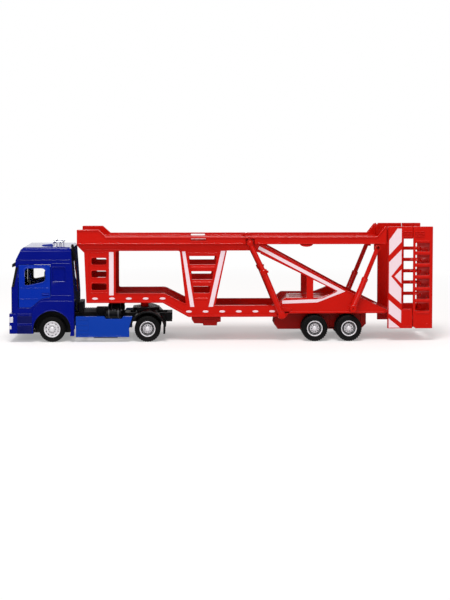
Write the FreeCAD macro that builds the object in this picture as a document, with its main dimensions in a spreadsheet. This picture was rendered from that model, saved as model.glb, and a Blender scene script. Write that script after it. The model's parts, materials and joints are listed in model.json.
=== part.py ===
"""Toy car transporter: a tractor with a hollow cab and a two-deck semi-trailer.

Millimetres. The origin is on the ground below the middle of the toy, +X points to the rear,
so the cab faces -X, +Y is the right-hand side and +Z is up.
"""
import FreeCAD, Part
import os
import re
import Sketcher

# Driving dimensions. Heights are from the ground, lengthwise places are X, widths are from the
# middle plane unless a name says otherwise.
SIZES = {
    # how far joined solids lap, and how far a tool passes what it cuts
    "lap": 0.1, "past": 1.0,
    # wheels
    "tyre_radius": 10.4, "tyre_width": 6.5, "rim_radius": 6.8, "wheel_outer": 24.3,
    "twin_gap": 0.8, "axle_radius": 1.0, "axle_play": 0.2, "hub_radius": 3.8, "rim_wall": 0.7,
    "front_axle": -135.5, "drive_axle": -59.4, "bogie_front": 74.7, "bogie_rear": 102.2,
    "tyre_shoulder": 1.2, "tyre_round": 0.9, "face_depth": 0.3, "dish_depth": 3.2,
    "hub_proud": 0.2, "dish_slope": 0.6, "dish_rise": 1.2, "crown_slope": 0.4,
    "crown_rise": 1.0, "rim_set_in": 0.2, "rim_fit": 0.02, "disc_thick": 2.4,
    "axle_set_in": 0.4, "axle_fit": 0.01,
    # cab
    "cab_half": 25.0, "wall": 1.5, "nose": -168.2, "cab_back": -120.3, "cab_back_low": -117.8,
    "roof": 76.0, "roof_edge": 3.0, "nose_corner": 4.0, "screen_low": 44.3, "screen_high": 60.3,
    "brow": 65.9, "screen_lean": 4.1, "brow_lean": 8.3, "arch_gap": 4.6, "arch_roof": 2.2,
    "cab_skirt_low": 5.0, "step_low": 7.0, "step_front": -163.5, "leg_inner": 17.0,
    "sleeper_front": -134.7, "sleeper_rear": -125.0, "sleeper_low": 48.8, "sleeper_high": 60.0,
    "recess": 0.6, "screen_step": 0.8, "screen_step_rise": 0.3, "brow_drop": 1.6,
    "brow_run": 1.9, "rear_run": 1.2, "rear_drop": 1.4, "back_sill": 8.4, "bevel_share": 0.3,
    "leg_lean": 0.6,
    # doors and glass
    "door_front": -161.9, "door_rear": -136.7, "door_top": 62.2, "door_gap": 0.25, "door_pin": 0.4,
    "door_pin_reach": 1.0, "door_sill": 0.4, "arch_margin": 1.6, "door_bend_x": 8.3,
    "door_bend_rise": 7.0, "door_rear_rise": 8.2, "pane_step": 2.5,
    "pane_front": -157.0, "pane_rear": -140.3, "pane_top": 59.5, "pane_low_front": 45.8,
    "pane_low_rear": 48.8, "pane_thick": 0.6, "screen_margin": 3.4, "pane_fit": 0.05,
    "screen_sill": 1.4, "screen_head": 0.8, "screen_inset": 0.3, "screen_tool_start": 3.0,
    "screen_tool": 8.0,
    # bumper, grille and lamps
    "bumper_front": -169.4, "bumper_thick": 2.6, "bumper_low": 7.0, "bumper_high": 23.2,
    "grille_half": 15.0, "grille_low": 28.0, "grille_high": 42.0, "grille_thick": 0.7,
    "lamp_inner": 14.5, "lamp_width": 8.5, "lamp_low": 15.6, "lamp_height": 5.0,
    "lamp_depth": 1.4, "fog_low": 9.6, "fog_height": 3.0, "lamp_set_back": 0.15,
    "bumper_return": 3.0, "lamp_play": 0.1,
    # cab fittings
    "visor_reach": 3.2, "visor_half": 21.0, "visor_root": 0.5,
    "visor_drop": 2.0, "visor_tip": 1.2, "dash_low": 36.0, "dash_high": 45.5,
    "dash_set_back": 1.0, "dash_tuck": 1.5, "dash_lip": 3.0, "dash_slope": 1.0,
    "column_radius": 0.7, "column_root": 0.2, "column_drop": 4.0, "column_reach": 2.8,
    "column_head": 1.0, "spoke": 1.0, "seat_recline": 1.5, "seat_taper": 0.6,
    "dash_depth": 7.0, "seat_front": -152.0, "seat_length": 9.0, "seat_middle": 11.5,
    "seat_half": 5.5, "seat_rise": 8.0, "seat_back": 19.0, "seat_thick": 3.0,
    "wheel_ring": 4.2, "wheel_grip": 0.6, "hatch_front": -146.0, "hatch_rear": -136.6,
    "hatch_half": 7.0, "hatch_rise": 1.4, "hatch_back": 0.4, "hatch_slope": 1.6,
    "hatch_share": 0.6, "horn_foot": 3.0, "horn_foot_length": 2.0, "horn_foot_half": 0.8,
    "horn_front": -136.0, "horn_length": 7.4,
    "horn_radius": 1.3, "horn_spread": 9.0, "horn_rise": 3.0, "stack_side": 20.0,
    "stack_foot_x": -115.9, "stack_foot_z": 41.5, "stack_top_x": -119.5, "stack_top_z": 78.2,
    "stack_radius": 0.8, "silencer_radius": 1.15, "silencer_length": 19.0, "clip_height": 1.6,
    "silencer_lap": 0.5, "clip_half": 0.7,
    # chassis
    "rail_low": 14.0, "rail_high": 21.2, "chassis_half": 8.0, "rail_thick": 2.5,
    "chassis_rear": -39.9, "cross_width": 4.0, "hanger_half": 2.6, "hanger_low": 8.4,
    "cross_lift": 1.0, "cross_after_axle": 20.0, "cross_in_skirt": 8.0, "cross_on_coupling": 2.0,
    "cross_off_coupling": 6.0, "mount_set_in": 5.0, "arm_length": 3.0, "arm_height": 3.5,
    "arm_front": 4.0, "arm_rear": 9.0,
    "box_front": -115.7, "box_length": 3.4, "box_half": 9.0, "box_top": 30.2,
    "gearbox_front": -111.9, "gearbox_length": 10.0, "gearbox_half": 5.0, "gearbox_top": 23.6,
    "skirt_front": -116.6, "skirt_rear": -70.4, "skirt_top": 20.6, "skirt_low": 4.0,
    "skirt_thick": 2.6, "skirt_outer": 24.5, "skirt_notch_front": -92.6,
    "skirt_notch_rear": -80.2, "notch_depth": 2.1, "notch_slope": 1.4,
    "tank_front": -94.0, "tank_length": 14.4, "tank_radius": 3.6, "tank_side": 16.4,
    "skirt_foot": 3.6, "skirt_clear": 0.6, "skirt_shoulder": 0.2, "skirt_bend": 3.0,
    "skirt_tip": 1.0, "bracket_half": 2.0, "bracket_rise": 3.6, "bracket_height": 3.0,
    "guard_trim": 5.0, "guard_rise": 3.0, "flap_lap": 0.4, "flap_rise": 4.0, "stay_lap": 2.4,
    "stay_root": 0.5, "stay_drop": 5.7, "stay_length": 3.4, "stay_height": 4.3,
    "tank_height": 22.2, "guard_gap": 2.6, "guard_thick": 1.1, "guard_inner_y": 11.0,
    "flap_low": 6.4, "fifth_front": -72.0, "fifth_rear": -50.5, "fifth_half": 10.0,
    "fifth_top": 25.3, "fifth_thick": 2.3, "kingpin": -62.6, "kingpin_radius": 3.3,
    "kingpin_bore": 1.5, "pin_play": 0.05, "fifth_front_share": 0.6, "fifth_rear_share": 0.5,
    "fifth_front_run": 4.0, "fifth_rear_run": 7.0, "stand_half": 6.0, "coupling_drop": 5.0,
    "coupling_bore": 20.0, "bed_half": 10.0, "coupling_gap": 0.15, "kingpin_clear": 0.4,
    # trailer side frames
    "side_outer": 21.6, "side_thick": 2.0, "frame_top": 80.4, "band_low": 73.0,
    "overhang_front": -115.5, "overhang_low": 77.0, "wall_front": -110.0, "wall_step": 71.5,
    "beam_low": 31.0, "beam_rise": 7.6, "neck_front": -47.3, "neck_rear": -26.7,
    "well_low": 19.5, "well_sill": 9.4, "well_rear": 43.0, "hump_front": 52.2,
    "wheel_gap": 1.4, "tail_x": 134.6, "tail_rise": 1.9, "tail_low_x": 131.4,
    "hump_sill": 12.6, "beam_tip_x": 99.8, "beam_tip_z": 41.3, "beam_top_x": 34.6,
    "beam_top_z": 77.0, "beam_foot_x": 31.0, "beam_foot_z": 70.4, "post_front": 68.2,
    "post_rear": 73.5, "tri_tip_x": 92.5, "tri_tip_z": 40.2, "window_front": -85.0,
    "window_rear": -33.5, "vent_front": -104.4, "vent_rear": -91.8, "vent_low": 41.2,
    "vent_height": 6.0, "vent_pitch": 10.2, "vee_left_top": -33.5, "vee_left_low": -27.4,
    "vee_right_top": 4.1, "vee_right_low": -5.4, "band_end": 19.4,
    "wall_set_back": 1.6, "foot_pad": 3.0, "well_corner": 0.6, "window_neck": 1.5,
    "window_vee": 1.2, "window_sill": 1.0, "tri_foot": 7.0, "vee_left_slope": 0.138,
    "vee_right_slope": 0.218, "vee_left_bar": 6.4, "vee_right_bar": 6.6, "vee_left_draft": 0.6,
    "vee_right_draft": 1.0,
    # decks
    "floor_thick": 1.8, "low_floor": 35.6, "well_floor": 23.6, "hump_rise": 11.6,
    "floor_start": 3.0, "well_start": 2.0, "wall_rise": 4.0, "knuckle_room": 0.5,
    "lip_length": 2.0, "ear_half": 1.4, "ear_length": 4.0, "ear_gap": 0.3, "ear_bore": 6.0,
    "lug_gap": 0.2, "lug_thick": 1.8, "ram_pin_root": 1.0,
    "rail_gap": 0.4, "rail_wide": 2.2, "rail_foot": 78.2, "rail_top": 84.2,
    "rail_slot_front": -24.6, "rail_slot_rear": -12.6, "rail_slot_low": 81.2,
    "rail_slot_high": 83.2, "front_rail_top": 90.0, "front_rail_end": -98.4, "front_rail_foot": -92.0,
    "rear_rail_top": 92.2, "deck_end_gap": 1.4, "rear_rail_flat": 1.0, "rear_rail_slope": 6.0,
    "deck_split": 22.2, "split_gap": 0.6, "rail_relief": 1.6, "hinge_height": 79.6,
    "hinge_radius": 1.0, "knuckle_radius": 2.5, "deck_ear": 2.2, "ear_thick": 2.2,
    # struts and rams
    "strut_clear": 0.2, "strut_collar_x": 33.3, "strut_collar_z": 56.6, "strut_foot_x": 48.0,
    "strut_foot_z": 21.4, "strut_barrel": 2.3, "strut_rod": 1.9, "strut_eye": 3.0, "eye_margin": 0.3,
    "rod_lap": 2.0, "collar_step": 0.4, "collar_back": 1.4, "collar_length": 2.0,
    "hinge_pin_root": 3.0, "ram_eye_step": 0.3, "ram_bore_start": 2.8, "eye_tool": 4.0,
    "ram_clear": 0.55, "ram_foot_x": 105.0, "ram_foot_z": 26.6, "ram_head_x": 124.8,
    "ram_head_z": 75.4, "ram_barrel": 2.4, "ram_rod": 1.8, "ram_play": 0.15,
    "ram_barrel_length": 26.4, "ram_eye_margin": 0.2, "ram_overlap": 2.4, "ram_pin": 0.8,
    "ram_eye_play": 0.55, "ram_eye_wall": 0.8, "ram_lug_half": 2.4,
    # tail: posts, floor and ramp
    "gate_thick": 1.9, "post_x": 133.3, "post_length": 19.9, "ramp_length": 15.6, "gate_low": 10.2,
    "gate_top": 92.2, "slot_x": 145.2, "slot_low": 25.8, "slot_high": 82.4,
    "ramp_gap": 0.6, "ramp_plate": 2.0, "hinge_inset": 4.0,
    "ramp_hinge_z": 13.4, "ramp_pin": 0.9, "ramp_ear": 2.5, "ramp_ear_thick": 2.2,
    "ramp_side_play": 0.3, "ramp_plate_top": 88.0, "ladder_margin_front": 1.7,
    "ladder_margin_rear": 2.5, "ladder_low": 24.2, "ladder_height": 6.8, "ladder_pitch": 9.6,
    "plate_slot_half": 3.2, "plate_slot_height": 3.0, "corner_cut": 2.0,
    "tail_clear": 1.2, "tail_end_rise": 1.0, "tail_extra": 0.6, "ear_root": 8.0,
    "plate_clear": 0.8, "slot_rise": 5.0, "slot_column": 12.0, "ramp_pin_root": 2.4,
    # trailer underside
    "bogie_half": 9.2, "bogie_low": 7.6, "bogie_front_end": 43.2, "bogie_rear_end": 118.4,
    "bogie_nose": 3.0, "bogie_tail": 4.0, "bogie_corner": 4.0, "bogie_shoulder": 2.0,
    "bogie_slope": 5.0, "bogie_front_slope": 1.4,
    "leg_front": -24.1, "leg_length": 23.5, "leg_low": 12.2, "leg_margin": 0.9,
    "leg_rear_rise": 3.0,
}
LADDER_STEPS = 6
VENTS = 3
PLATE_SLOTS = 7
STEERING_TILT = 40
# Heights of the stack's clips above its foot.
CLIP_RISES = (2.5, 20)
# The openings between the vee's arms: height of the foot, height of the head.
VEE_OPENINGS = ((61.8, 68.6), (49.8, 56.4), (38.9, 44.4))
# The stepped foot of the support block: distance from its front, height above its lowest face.
LEG_STEPS = ((0, 5), (2, 1.8), (9, 1.6), (9.4, 0), (20.4, 0), (20.6, 2.6))

# Places that follow from the sizes, written as formulas on the sheet's aliases.
ARCH_RADIUS = "(tyre_radius + arch_gap)"
CAB_FLOOR = "(2 * tyre_radius + arch_gap + arch_roof)"
GUARD_RADIUS = "(tyre_radius + guard_gap)"
HUMP_LOW = "(2 * tyre_radius + wheel_gap)"
DOOR_LOW = f"({CAB_FLOOR} + door_sill)"
DOOR_AXIS_X = "(door_front + wall / 2)"
DOOR_AXIS_Y = "(wall / 2 - cab_half)"
HUMP_FLOOR = f"({HUMP_LOW} + hump_rise)"
POST_END = "(post_x + post_length)"
RAMP_START = f"({POST_END} + ramp_gap)"
RAMP_END = f"({RAMP_START} + ramp_length)"
RAMP_HINGE = f"({RAMP_END} - hinge_inset)"
DECK_END = "(post_x - deck_end_gap)"
SIDE_INNER = "(side_outer - side_thick)"
RAIL_INNER = "(side_outer + rail_gap)"
RAIL_OUTER = "(side_outer + rail_gap + rail_wide)"
STRUT_SIDE = "(side_outer + strut_clear + strut_barrel)"
RAM_SIDE = "(side_outer + ram_clear + ram_barrel)"
HINGE_ROOM = "(knuckle_radius + knuckle_room)"
COLUMN_FOOT = ("nose + wall + dash_depth - column_root", "dash_high - column_drop")
COLUMN_HEAD = ("nose + wall + dash_depth + column_reach", "dash_high - column_head")

doc = FreeCAD.newDocument("CarTransporter")
sheet = doc.addObject("Spreadsheet::Sheet", "Sizes")
for row, (alias, size) in enumerate(SIZES.items(), start=1):
    sheet.set(f"A{row}", alias)
    sheet.set(f"B{row}", str(size))
    sheet.setAlias(f"B{row}", alias)
doc.recompute()
nodes = []


def bound(formula):
    """The formula with each alias written as a cell of the sheet."""
    return re.sub(r"[a-z][a-z_]+", lambda word: "Sizes." + word.group() if word.group() in SIZES
                  else word.group(), str(formula))


def number(formula):
    """The formula's value now."""
    found = sheet.evalExpression(bound(formula))
    return float(getattr(found, "Value", found))


def bind(thing, place, formula):
    thing.setExpression(place, bound(formula))


def node(thing, name):
    """Marks an object as a sub-part: its label names its file."""
    thing.Label = name
    nodes.append(thing)
    return thing


def outline_sketch(body, plane, loops, offset="0"):
    """A sketch of closed polygons on one of the body's origin planes, each corner dimensioned."""
    sketch = body.newObject("Sketcher::SketchObject", "Outline")
    base = [found for found in body.Origin.OriginFeatures if found.Role == plane][0]
    sketch.AttachmentSupport = [(base, "")]
    sketch.MapMode = "FlatFace"
    bind(sketch, "AttachmentOffset.Base.z", offset)
    for loop in loops:
        spots = [(number(across), number(up)) for across, up in loop]
        ends = spots[1:] + spots[:1]
        lines = [Part.LineSegment(FreeCAD.Vector(*start, 0), FreeCAD.Vector(*end, 0))
                 for start, end in zip(spots, ends)]
        edges = sketch.addGeometry(lines, False)
        for edge, following in zip(edges, edges[1:] + edges[:1]):
            sketch.addConstraint(Sketcher.Constraint("Coincident", edge, 2, following, 1))
        for edge, corner, spot in zip(edges, loop, spots):
            for kind, formula, value in zip(("DistanceX", "DistanceY"), corner, spot):
                index = sketch.addConstraint(Sketcher.Constraint(kind, -1, 1, edge, 1, value))
                bind(sketch, f"Constraints[{index}]", formula)
    return sketch


def prism(plane, loops, start, depth):
    """A padded outline: it starts at a distance along the plane's axis and grows along it."""
    body = doc.addObject("PartDesign::Body", "Prism")
    flipped = plane == "XZ_Plane"
    sketch = outline_sketch(body, plane, loops, f"-({start})" if flipped else start)
    pad = body.newObject("PartDesign::Pad", "Pad")
    pad.Profile = sketch
    pad.Reversed = flipped
    pad.Length = number(depth)
    bind(pad, "Length", depth)
    return body


def turned(section, x="0", z="tyre_radius"):
    """A section of (radius, y) corners turned about a crosswise axis at x, z."""
    body = doc.addObject("PartDesign::Body", "Turned")
    sketch = outline_sketch(body, "XY_Plane", [section])
    spin = body.newObject("PartDesign::Revolution", "Revolution")
    spin.Profile = sketch
    spin.ReferenceAxis = (sketch, ["V_Axis"])
    spin.Angle = 360.0
    bind(body, "Placement.Base.x", x)
    bind(body, "Placement.Base.z", z)
    return body


def block(x, y, z, length, width, height):
    """A box from its low corner."""
    box = doc.addObject("Part::Box", "Block")
    for name, formula in (("Length", length), ("Width", width), ("Height", height),
                          ("Placement.Base.x", x), ("Placement.Base.y", y),
                          ("Placement.Base.z", z)):
        bind(box, name, formula)
    return box


def spread(x, half, z, length, height):
    """A box across the middle plane, as wide each way as half."""
    return block(x, f"-({half})", z, length, f"2 * ({half})", height)


def cylinder(x, y, z, length, radius, axis=(0, 0, 1), turn=0):
    """A cylinder that grows along +Z from x, y, z, or the same turned about an axis."""
    pin = doc.addObject("Part::Cylinder", "Pin")
    pin.Placement = FreeCAD.Placement(FreeCAD.Vector(),
                                      FreeCAD.Rotation(FreeCAD.Vector(*axis), turn))
    for name, formula in (("Radius", radius), ("Height", length), ("Placement.Base.x", x),
                          ("Placement.Base.y", y), ("Placement.Base.z", z)):
        bind(pin, name, formula)
    return pin


def cross_pin(x, z, y, length, radius):
    """A cylinder along +Y from y."""
    return cylinder(x, y, z, length, radius, (1, 0, 0), -90)


def long_pin(x, y, z, length, radius):
    """A cylinder along +X from x."""
    return cylinder(x, y, z, length, radius, (0, 1, 0), 90)


def slanted(foot, head, y, radius, start="0", length=None):
    """A cylinder on the line from foot (x, z) to head (x, z), from start along it."""
    run = f"({head[0]} - ({foot[0]}))"
    rise = f"({head[1]} - ({foot[1]}))"
    span = f"sqrt({run} * {run} + {rise} * {rise})"
    pin = doc.addObject("Part::Cylinder", "Rod")
    pin.Placement = FreeCAD.Placement(FreeCAD.Vector(),
                                      FreeCAD.Rotation(FreeCAD.Vector(0, 1, 0), 10))
    for name, formula in (("Radius", radius), ("Height", length or f"{span} - ({start})"),
                          ("Placement.Base.x", f"{foot[0]} + ({start}) * {run} / {span}"),
                          ("Placement.Base.y", y),
                          ("Placement.Base.z", f"{foot[1]} + ({start}) * {rise} / {span}"),
                          ("Placement.Rotation.Angle", f"atan2({run}; {rise})")):
        bind(pin, name, formula)
    return pin


def fuse(*shapes):
    joined = doc.addObject("Part::MultiFuse", "Fuse")
    joined.Shapes = list(shapes)
    joined.Refine = True
    return joined


def cut(base, *tools):
    """The base less each tool in turn."""
    for tool in tools:
        less = doc.addObject("Part::Cut", "Cut")
        less.Base = base
        less.Tool = tool
        base = less
    base.Refine = True
    return base


def common(*shapes):
    shared = doc.addObject("Part::MultiCommon", "Common")
    shared.Shapes = list(shapes)
    return shared


def mirrored(source):
    """The right-hand twin of a left-hand piece."""
    twin = doc.addObject("Part::Mirroring", "Mirror")
    twin.Source = source
    twin.Normal = FreeCAD.Vector(0, 1, 0)
    return twin


def group(*shapes):
    """Pieces that share a node and don't touch."""
    together = doc.addObject("Part::Compound", "Group")
    together.Links = list(shapes)
    return together


def both(source):
    """A piece and its right-hand twin as one node."""
    return group(source, mirrored(source))


def left_plate(loops, outer, thick):
    """A plate of a left-hand side, from its outer face inwards."""
    return prism("XZ_Plane", loops, f"-({outer})", thick)


def rectangle(x_low, x_high, z_low, z_high):
    return [(x_low, z_low), (x_high, z_low), (x_high, z_high), (x_low, z_high)]


# ---- tractor: cab --------------------------------------------------------------------------

def cab_form(inset, floor):
    """The cab's outer form, or the same form inset by a wall, from the given floor up.

    Each corner takes the share of the inset that keeps both of its walls that thick.
    """
    side = prism("XZ_Plane", [[
        (f"nose + {inset}", floor), (f"nose + {inset}", f"screen_low - {inset} / 2"),
        (f"nose + screen_step + {inset}", f"screen_low + screen_step_rise - {inset} / 2"),
        (f"nose + screen_lean + {inset}", f"screen_high - {inset} / 4"),
        (f"nose + screen_lean + {inset}", f"brow - {inset} / 4"),
        (f"nose + brow_lean + {inset}", f"roof - brow_drop - {inset} / 2"),
        (f"nose + brow_lean + brow_run + {inset} * 0.6", f"roof - {inset}"),
        (f"cab_back - rear_run - {inset} * 1.2", f"roof - {inset}"),
        (f"cab_back - {inset}", f"roof - rear_drop - {inset} / 2"),
        (f"cab_back_low - {inset}", f"{CAB_FLOOR} + back_sill"),
        (f"cab_back_low - {inset}", floor)]], f"{inset} - cab_half", f"2 * (cab_half - {inset})")
    bevel_x = f"nose + nose_corner * bevel_share + {inset} * 0.7"
    bevel_y = f"nose_corner * bevel_share + {inset} * 0.7"
    plan = prism("XY_Plane", [[
        (f"nose + {inset}", f"nose_corner - cab_half + {inset} / 2"),
        (bevel_x, f"{bevel_y} - cab_half"),
        (f"nose + nose_corner + {inset} / 2", f"{inset} - cab_half"),
        (f"cab_back_low - {inset}", f"{inset} - cab_half"),
        (f"cab_back_low - {inset}", f"cab_half - {inset}"),
        (f"nose + nose_corner + {inset} / 2", f"cab_half - {inset}"),
        (bevel_x, f"cab_half - ({bevel_y})"),
        (f"nose + {inset}", f"cab_half - nose_corner - {inset} / 2")]], "0", "roof")
    bevel = f"(roof_edge * bevel_share + {inset} * 0.7)"
    front = prism("YZ_Plane", [[
        (f"{inset} - cab_half", "0"), (f"cab_half - {inset}", "0"),
        (f"cab_half - {inset}", f"roof - roof_edge - {inset} / 2"),
        (f"cab_half - {bevel}", f"roof - {bevel}"),
        (f"cab_half - roof_edge - {inset} / 2", f"roof - {inset}"),
        (f"roof_edge + {inset} / 2 - cab_half", f"roof - {inset}"),
        (f"{bevel} - cab_half", f"roof - {bevel}"),
        (f"{inset} - cab_half", f"roof - roof_edge - {inset} / 2")]],
        "bumper_front", "cab_back_low - bumper_front + past")
    return common(side, plan, front)


def door_outline(grow, front="door_front"):
    """The door's edge, or the opening round it when grow is the gap."""
    low = DOOR_LOW
    return [(f"{front} - {grow}", f"{low} - {grow}"),
            (f"front_axle - {ARCH_RADIUS} - arch_margin", f"{low} - {grow}"),
            ("front_axle - door_bend_x", f"{low} + door_bend_rise - {grow}"),
            (f"door_rear + {grow}", f"{low} + door_rear_rise - {grow}"),
            (f"door_rear + {grow}", f"door_top + {grow}"),
            (f"{front} - {grow}", f"door_top + {grow}")]


def pane_outline(grow):
    """The side window's edge."""
    return [(f"pane_front - {grow}", f"pane_low_front - {grow}"),
            ("pane_front + pane_step", f"pane_low_front - {grow}"),
            (f"pane_rear + {grow}", f"pane_low_rear - {grow}"),
            (f"pane_rear + {grow}", f"pane_top + {grow}"),
            (f"pane_front - {grow}", f"pane_top + {grow}")]


def screen_outline(low, high, shift, thick):
    """A slab along the windscreen's slope, between two heights, in side view."""
    start = "(screen_low + screen_step_rise)"
    slope = f"(screen_lean - screen_step) / (screen_high - {start})"
    foot = f"nose + screen_step + ({low} - {start}) * {slope} + {shift}"
    head = f"nose + screen_step + ({high} - {start}) * {slope} + {shift}"
    return [(foot, low), (f"{foot} + {thick}", low), (f"{head} + {thick}", high), (head, high)]


def cab():
    """A hollow cab with its wheel arches, steps, windscreen, door and rear openings cut."""
    step = f"front_axle - {ARCH_RADIUS} + lap"
    rear_leg = f"front_axle + {ARCH_RADIUS} - lap"
    leg_top = f"{CAB_FLOOR} + lap"
    outlines = (rectangle("step_front", step, "step_low", leg_top),
                [(f"{rear_leg} - leg_lean", "cab_skirt_low"), ("cab_back_low", "cab_skirt_low"),
                 ("cab_back_low", leg_top), (rear_leg, leg_top), (rear_leg, "tyre_radius")])
    legs = [prism("XZ_Plane", [outline], "-cab_half", "cab_half - leg_inner")
            for outline in outlines]
    form = cab_form("0", "bumper_high + lap")
    channel = spread("nose - past", "leg_inner", "0", "cab_back_low - nose + 2 * past", CAB_FLOOR)
    outer = fuse(form, *legs, *[mirrored(leg) for leg in legs])
    cavity = cab_form("wall", f"{CAB_FLOOR} + wall")
    doorway = prism("XZ_Plane", [door_outline("door_gap")], "-cab_half - past",
                    "2 * (cab_half + past)")
    screen = prism("XZ_Plane", [screen_outline("screen_low + screen_sill",
                                               "screen_high - screen_head",
                                               "-screen_tool_start", "screen_tool")],
                   "screen_margin - cab_half", "2 * (cab_half - screen_margin)")
    arch = cross_pin("front_axle", "tyre_radius", "-cab_half - past", "2 * (cab_half + past)",
                     ARCH_RADIUS)
    rests = [block("sleeper_front", side, "sleeper_low", "sleeper_rear - sleeper_front", "recess",
                   "sleeper_high - sleeper_low")
             for side in ("-cab_half", "cab_half - recess")]
    sockets = door_pin("door_pin + pin_play", "(door_pin_reach + lap)")
    return cut(outer, channel, cavity, doorway, screen, arch, sockets, mirrored(sockets), *rests)


def door():
    """The left door: a plate with a window and a round hinge edge with a pin at each end."""
    plate = left_plate([door_outline("0", DOOR_AXIS_X), pane_outline("0")], "cab_half", "wall")
    return fuse(plate, door_pin("wall / 2", "0"), door_pin("door_pin", "door_pin_reach"))


def door_pin(radius, reach):
    """A cylinder on the left door's hinge axis, past both ends of the door by reach."""
    return cylinder(DOOR_AXIS_X, DOOR_AXIS_Y, f"{DOOR_LOW} - {reach}",
                   f"door_top - {DOOR_LOW} + 2 * {reach}", radius)


def windscreen():
    low = "screen_low + screen_sill + pane_fit"
    high = "screen_high - screen_head - pane_fit"
    return prism("XZ_Plane", [screen_outline(low, high, "screen_inset", "pane_thick")],
                 "screen_margin + pane_fit - cab_half",
                 "2 * (cab_half - screen_margin - pane_fit)")


def side_glass():
    """The left side window's pane."""
    return left_plate([pane_outline("(0 - pane_fit)")], "cab_half - (wall - pane_thick) / 2",
                      "pane_thick")


def visor():
    root = "nose + screen_lean"
    return prism("XZ_Plane", [[(root, "screen_high + visor_root"), (root, "brow - visor_drop"),
                               (f"{root} - visor_reach", "screen_high + visor_tip"),
                               (f"{root} - visor_reach", "screen_high")]],
                 "-visor_half", "2 * visor_half")


def grille():
    return spread("nose - grille_thick", "grille_half", "grille_low", "grille_thick",
                  "grille_high - grille_low")


def bumper():
    """The bumper with its short returns and a pocket for each lamp."""
    bar = spread("bumper_front", "cab_half", "bumper_low", "bumper_thick",
                 "bumper_high - bumper_low")
    back = "bumper_front + bumper_thick - lap"
    ends = [block(back, side, "bumper_low", f"step_front - ({back})", "bumper_return",
                  "bumper_high - bumper_low") for side in ("-cab_half", "cab_half - bumper_return")]
    pockets = [block("bumper_front - past", y, low, "past + lamp_depth", width, height)
               for y, low, width, height in lamp_places("0")]
    return cut(fuse(bar, *ends), *pockets)


def lamp_places(play):
    """Low y, low z, width and height of the four lamps, less their play in the pocket."""
    outer = "lamp_inner + lamp_width"
    return [(f"{y} + {play}", f"{low} + {play}", f"lamp_width - 2 * {play}",
             f"{tall} - 2 * {play}")
            for low, tall in (("lamp_low", "lamp_height"), ("fog_low", "fog_height"))
            for y in (f"-({outer})", "lamp_inner")]


def lamps():
    return group(*[block("bumper_front + lamp_set_back", y, low, "lamp_depth - lamp_set_back",
                         width, height) for y, low, width, height in lamp_places("lamp_play")])


def dashboard():
    """The dashboard across the cab, with the steering column's mount."""
    inner = "nose + wall + dash_set_back"
    top = prism("XZ_Plane", [[(inner, "dash_low"), (f"{inner} + dash_depth - dash_tuck", "dash_low"),
                              (f"{inner} + dash_depth", "dash_high - dash_lip"),
                              (f"{inner} + dash_depth - dash_slope", "dash_high"),
                              (inner, "screen_low")]],
                "nose_corner - cab_half", "2 * (cab_half - nose_corner)")
    return cut(top, steering_column("column_radius + pin_play"))


def steering_column(radius):
    """The column from inside the dashboard to the wheel's middle."""
    return slanted(COLUMN_FOOT, COLUMN_HEAD, "-seat_middle", radius)


def steering():
    """The steering wheel on its column, on the left."""
    ring = doc.addObject("Part::Torus", "Ring")
    ring.Placement = FreeCAD.Placement(FreeCAD.Vector(),
                                       FreeCAD.Rotation(FreeCAD.Vector(0, 1, 0), STEERING_TILT))
    for name, formula in (("Radius1", "wheel_ring"), ("Radius2", "wheel_grip"),
                          ("Placement.Base.x", COLUMN_HEAD[0]),
                          ("Placement.Base.y", "-seat_middle"),
                          ("Placement.Base.z", COLUMN_HEAD[1])):
        bind(ring, name, formula)
    spokes = block(f"{COLUMN_HEAD[0]} - spoke / 2", "-seat_middle - wheel_ring",
                   f"{COLUMN_HEAD[1]} - spoke / 2", "spoke", "2 * wheel_ring", "spoke")
    return fuse(ring, spokes, steering_column("column_radius"))


def seats():
    """Two seats with their backs, standing on the cab's floor."""
    base = f"{CAB_FLOOR} + wall"
    back = "seat_front + seat_length"
    left = prism("XZ_Plane", [[
        ("seat_front", base), (f"{back} + seat_thick", base),
        (f"{back} + seat_thick + seat_recline", f"{base} + seat_rise + seat_back"),
        (f"{back} + seat_taper", f"{base} + seat_rise + seat_back"),
        (back, f"{base} + seat_rise"), ("seat_front", f"{base} + seat_rise")]],
        "-seat_middle - seat_half", "2 * seat_half")
    return both(left)


def hatch():
    return prism("XZ_Plane", [[("hatch_front", "roof"), ("hatch_rear", "roof"),
                               ("hatch_rear - hatch_back", "roof + hatch_rise"),
                               ("hatch_front + hatch_slope", "roof + hatch_rise * hatch_share")]],
                 "-hatch_half", "2 * hatch_half")


def horns():
    """A pair of horns on short feet on the roof."""
    pairs = []
    for side in ("-horn_spread", "horn_spread"):
        trumpet = long_pin("horn_front", side, "roof + horn_rise", "horn_length", "horn_radius")
        foot = block("horn_front + horn_foot", f"{side} - horn_foot_half", "roof",
                     "horn_foot_length", "2 * horn_foot_half", "horn_rise")
        pairs.append(fuse(trumpet, foot))
    return group(*pairs)


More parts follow.
